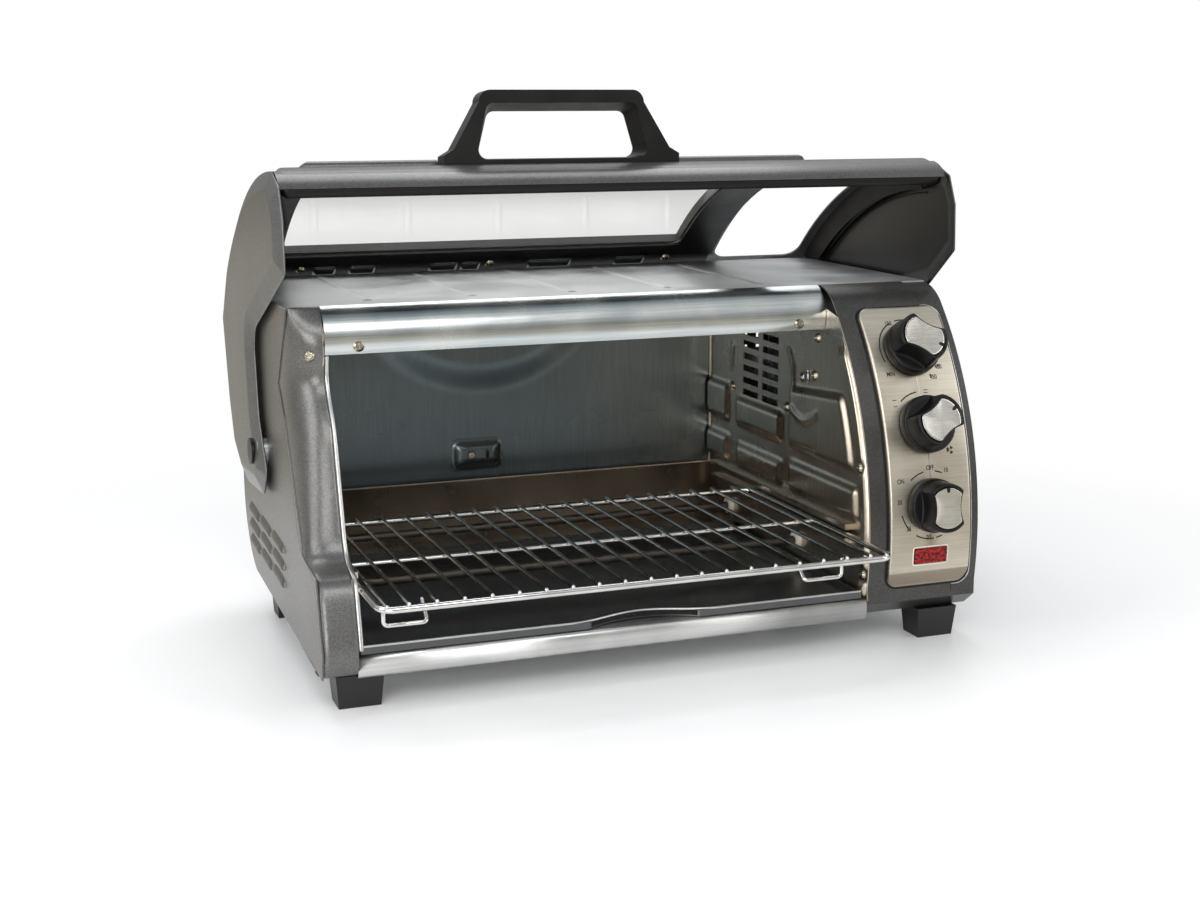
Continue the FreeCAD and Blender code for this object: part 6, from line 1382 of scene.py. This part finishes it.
# %% [markdown]
# ## The studio
# The photograph is a catalogue cut-out: a white ground, a broad soft light above and large white
# cards left and right, with darker air between them, which is what gives steel its dark bands.
# The floor takes the oven's shadow near it, and further out it is plain white to the camera.

# %% Floor paint
# Near the oven the floor is paint that takes light and shadow. From FADE_FROM to FADE_TO, in
# metres from the middle, rays from the camera and from mirrors meet plain white instead. Mirrors
# see it in the tone of a pale studio wall, and glass sees it as the camera does.
FADE_FROM, FADE_TO, MIRROR_TONE = 0.42, 0.75, "#c9c3b7"
floor_paint, tree, shader, place = new_finish(
    "white_studio_floor", "#f4f4f4", Roughness=0.28, Specular_IOR_Level=0.35)
grain = put(tree, "TexNoise", {"Vector": place, "Scale": per_mm(400), "Detail": 2.0})
rough = put(tree, "MapRange", {0: grain.outputs["Fac"], 3: 0.24, 4: 0.34})
tree.links.new(rough.outputs[0], shader.inputs["Roughness"])
reach = put(tree, "VectorMath", {0: place}, operation="LENGTH")
away = put(tree, "MapRange", {0: reach.outputs["Value"], 1: FADE_FROM, 2: FADE_TO},
           interpolation_type="SMOOTHSTEP")
rays = put(tree, "LightPath")
seen = put(tree, "Math", {0: rays.outputs["Is Camera Ray"], 1: rays.outputs["Is Glossy Ray"]},
           operation="MAXIMUM")
seen = put(tree, "Math", {0: seen.outputs[0], 1: rays.outputs["Is Transmission Ray"]},
           operation="MAXIMUM")
share = put(tree, "Math", {0: away.outputs[0], 1: seen.outputs[0]}, operation="MULTIPLY")
mirrored = put(tree, "Math", {0: rays.outputs["Is Glossy Ray"],
                              1: rays.outputs["Is Transmission Ray"]}, operation="SUBTRACT",
               use_clamp=True)
tone = put(tree, "Mix", {0: mirrored.outputs[0], 6: linear("#ffffff"), 7: linear(MIRROR_TONE)},
           data_type="RGBA")
white = put(tree, "Emission", {"Color": tone.outputs[2], "Strength": 1.0})
both = put(tree, "MixShader", {0: share.outputs[0], 1: shader.outputs[0], 2: white.outputs[0]})
tree.links.new(both.outputs[0], tree.nodes["Material Output"].inputs[0])
print("floor paint:", floor_paint.name)

# %% Floor
FLOOR_HALF = 4.0
floor_mesh = bpy.data.meshes.new("studio_floor")
floor_mesh.from_pydata([(FLOOR_HALF * right, FLOOR_HALF * back, 0) for right, back in
                        ((-1, -1), (1, -1), (1, 1), (-1, 1))], [], [[0, 1, 2, 3]])
floor_mesh.materials.append(floor_paint)
floor = bpy.data.objects.new("studio_floor", floor_mesh)
scene.collection.objects.link(floor)
print("floor:", 2 * FLOOR_HALF, "m wide")

# %% World
# The colour of the air from straight down (0) to straight up (1): warm grey below, pale walls
# above eye level, and a bright ceiling that turns blue grey straight above.
AIR_BANDS = [(0.0, "#756c5c"), (0.44, "#8d8470"), (0.5, "#b8ad98"), (0.54, "#b4b4b2"),
             (0.62, "#cfd0d0"), (0.72, "#fafafa"), (0.88, "#ffffff"), (0.935, "#cfd6db"),
             (0.965, "#8397a5"), (1.0, "#b4bdc4")]
AIR_STRENGTH = 0.7
world = bpy.data.worlds.new("studio_air")
scene.world = world
world.use_nodes = True
tree = world.node_tree
ground = tree.nodes["Background"]
direction = put(tree, "TexCoord")
parts = put(tree, "SeparateXYZ", {0: direction.outputs["Generated"]})
height = put(tree, "MapRange", {0: parts.outputs["Z"], 1: -1.0, 2: 1.0})
bands = put(tree, "ValToRGB", {0: height.outputs[0]})
while len(bands.color_ramp.elements) < len(AIR_BANDS):
    bands.color_ramp.elements.new(1.0)
for mark, (share, card) in zip(bands.color_ramp.elements, AIR_BANDS):
    mark.position, mark.color = share, linear(card)
tree.links.new(bands.outputs[0], ground.inputs["Color"])
ground.inputs["Strength"].default_value = AIR_STRENGTH
white = put(tree, "Background", {"Color": (1, 1, 1, 1), "Strength": 1.0})
rays = put(tree, "LightPath")
seen = put(tree, "Math", {0: rays.outputs["Is Camera Ray"],
                          1: rays.outputs["Is Transmission Ray"]}, operation="MAXIMUM")
both = put(tree, "MixShader", {0: seen.outputs[0], 1: ground.outputs[0], 2: white.outputs[0]})
tree.links.new(both.outputs[0], tree.nodes["World Output"].inputs[0])
print("bands in the air:", len(AIR_BANDS))


# %% Lamps
def soft_lamp(name, place, aim, width, height, power):
    """A rectangular lamp, sizes in m and power in W, at a place in mm. It faces the aim: its tilt
    is atan2(level distance, height) and its turn is atan2(x, -y) of the line back to it."""
    light = bpy.data.lights.new(name, "AREA")
    light.shape, light.size, light.size_y, light.energy = "RECTANGLE", width, height, power
    lamp = bpy.data.objects.new(name, light)
    scene.collection.objects.link(lamp)
    start, stop = np.array(place, float) * MM, np.array(aim, float) * MM
    lamp.location = start
    back = start - stop
    flat = math.hypot(back[0], back[1])
    lamp.rotation_euler = (math.atan2(flat, back[2]), 0, math.atan2(back[0], -back[1]))
    return lamp


OVEN_MIDDLE, CAVITY_WALL = (0, 0, 150), (120, 0, 140)
lamps = [soft_lamp("top_softbox", (0, 500, 1500), OVEN_MIDDLE, 1.6, 0.9, 14),
         soft_lamp("left_card", (-1500, -300, 800), OVEN_MIDDLE, 0.7, 1.2, 9),
         soft_lamp("right_card", (1400, -900, 600), OVEN_MIDDLE, 0.6, 1.2, 6),
         soft_lamp("front_fill", (-300, -1500, 1300), OVEN_MIDDLE, 1.4, 0.7, 12),
         soft_lamp("cavity_fill", (-900, -1300, 300), CAVITY_WALL, 0.9, 0.6, 9)]
print("lamps:", [lamp.name for lamp in lamps])

# %% [markdown]
# ## The camera
# The photograph was taken from the oven's left, 21 degrees round and 12 degrees above it. The
# lens, the place and the two angles were fitted to the picture's straight edges and circles.

# %% Camera and colour
CAMERA_PLACE = (-0.4300, -1.13543, 0.3779)
CAMERA_DOWN, CAMERA_ROUND = 11.68, 20.635
camera_data = bpy.data.cameras.new("catalogue_camera")
camera_data.sensor_width = 36.0
camera_data.lens = 52.01
camera = bpy.data.objects.new("catalogue_camera", camera_data)
scene.collection.objects.link(camera)
camera.location = CAMERA_PLACE
camera.rotation_euler = (math.radians(90 - CAMERA_DOWN), 0, math.radians(-CAMERA_ROUND))
scene.camera = camera
scene.view_settings.view_transform = "Standard"
print("camera stands", round(math.dist(CAMERA_PLACE, (0, 0, 0)), 2), "m from the frame's middle")
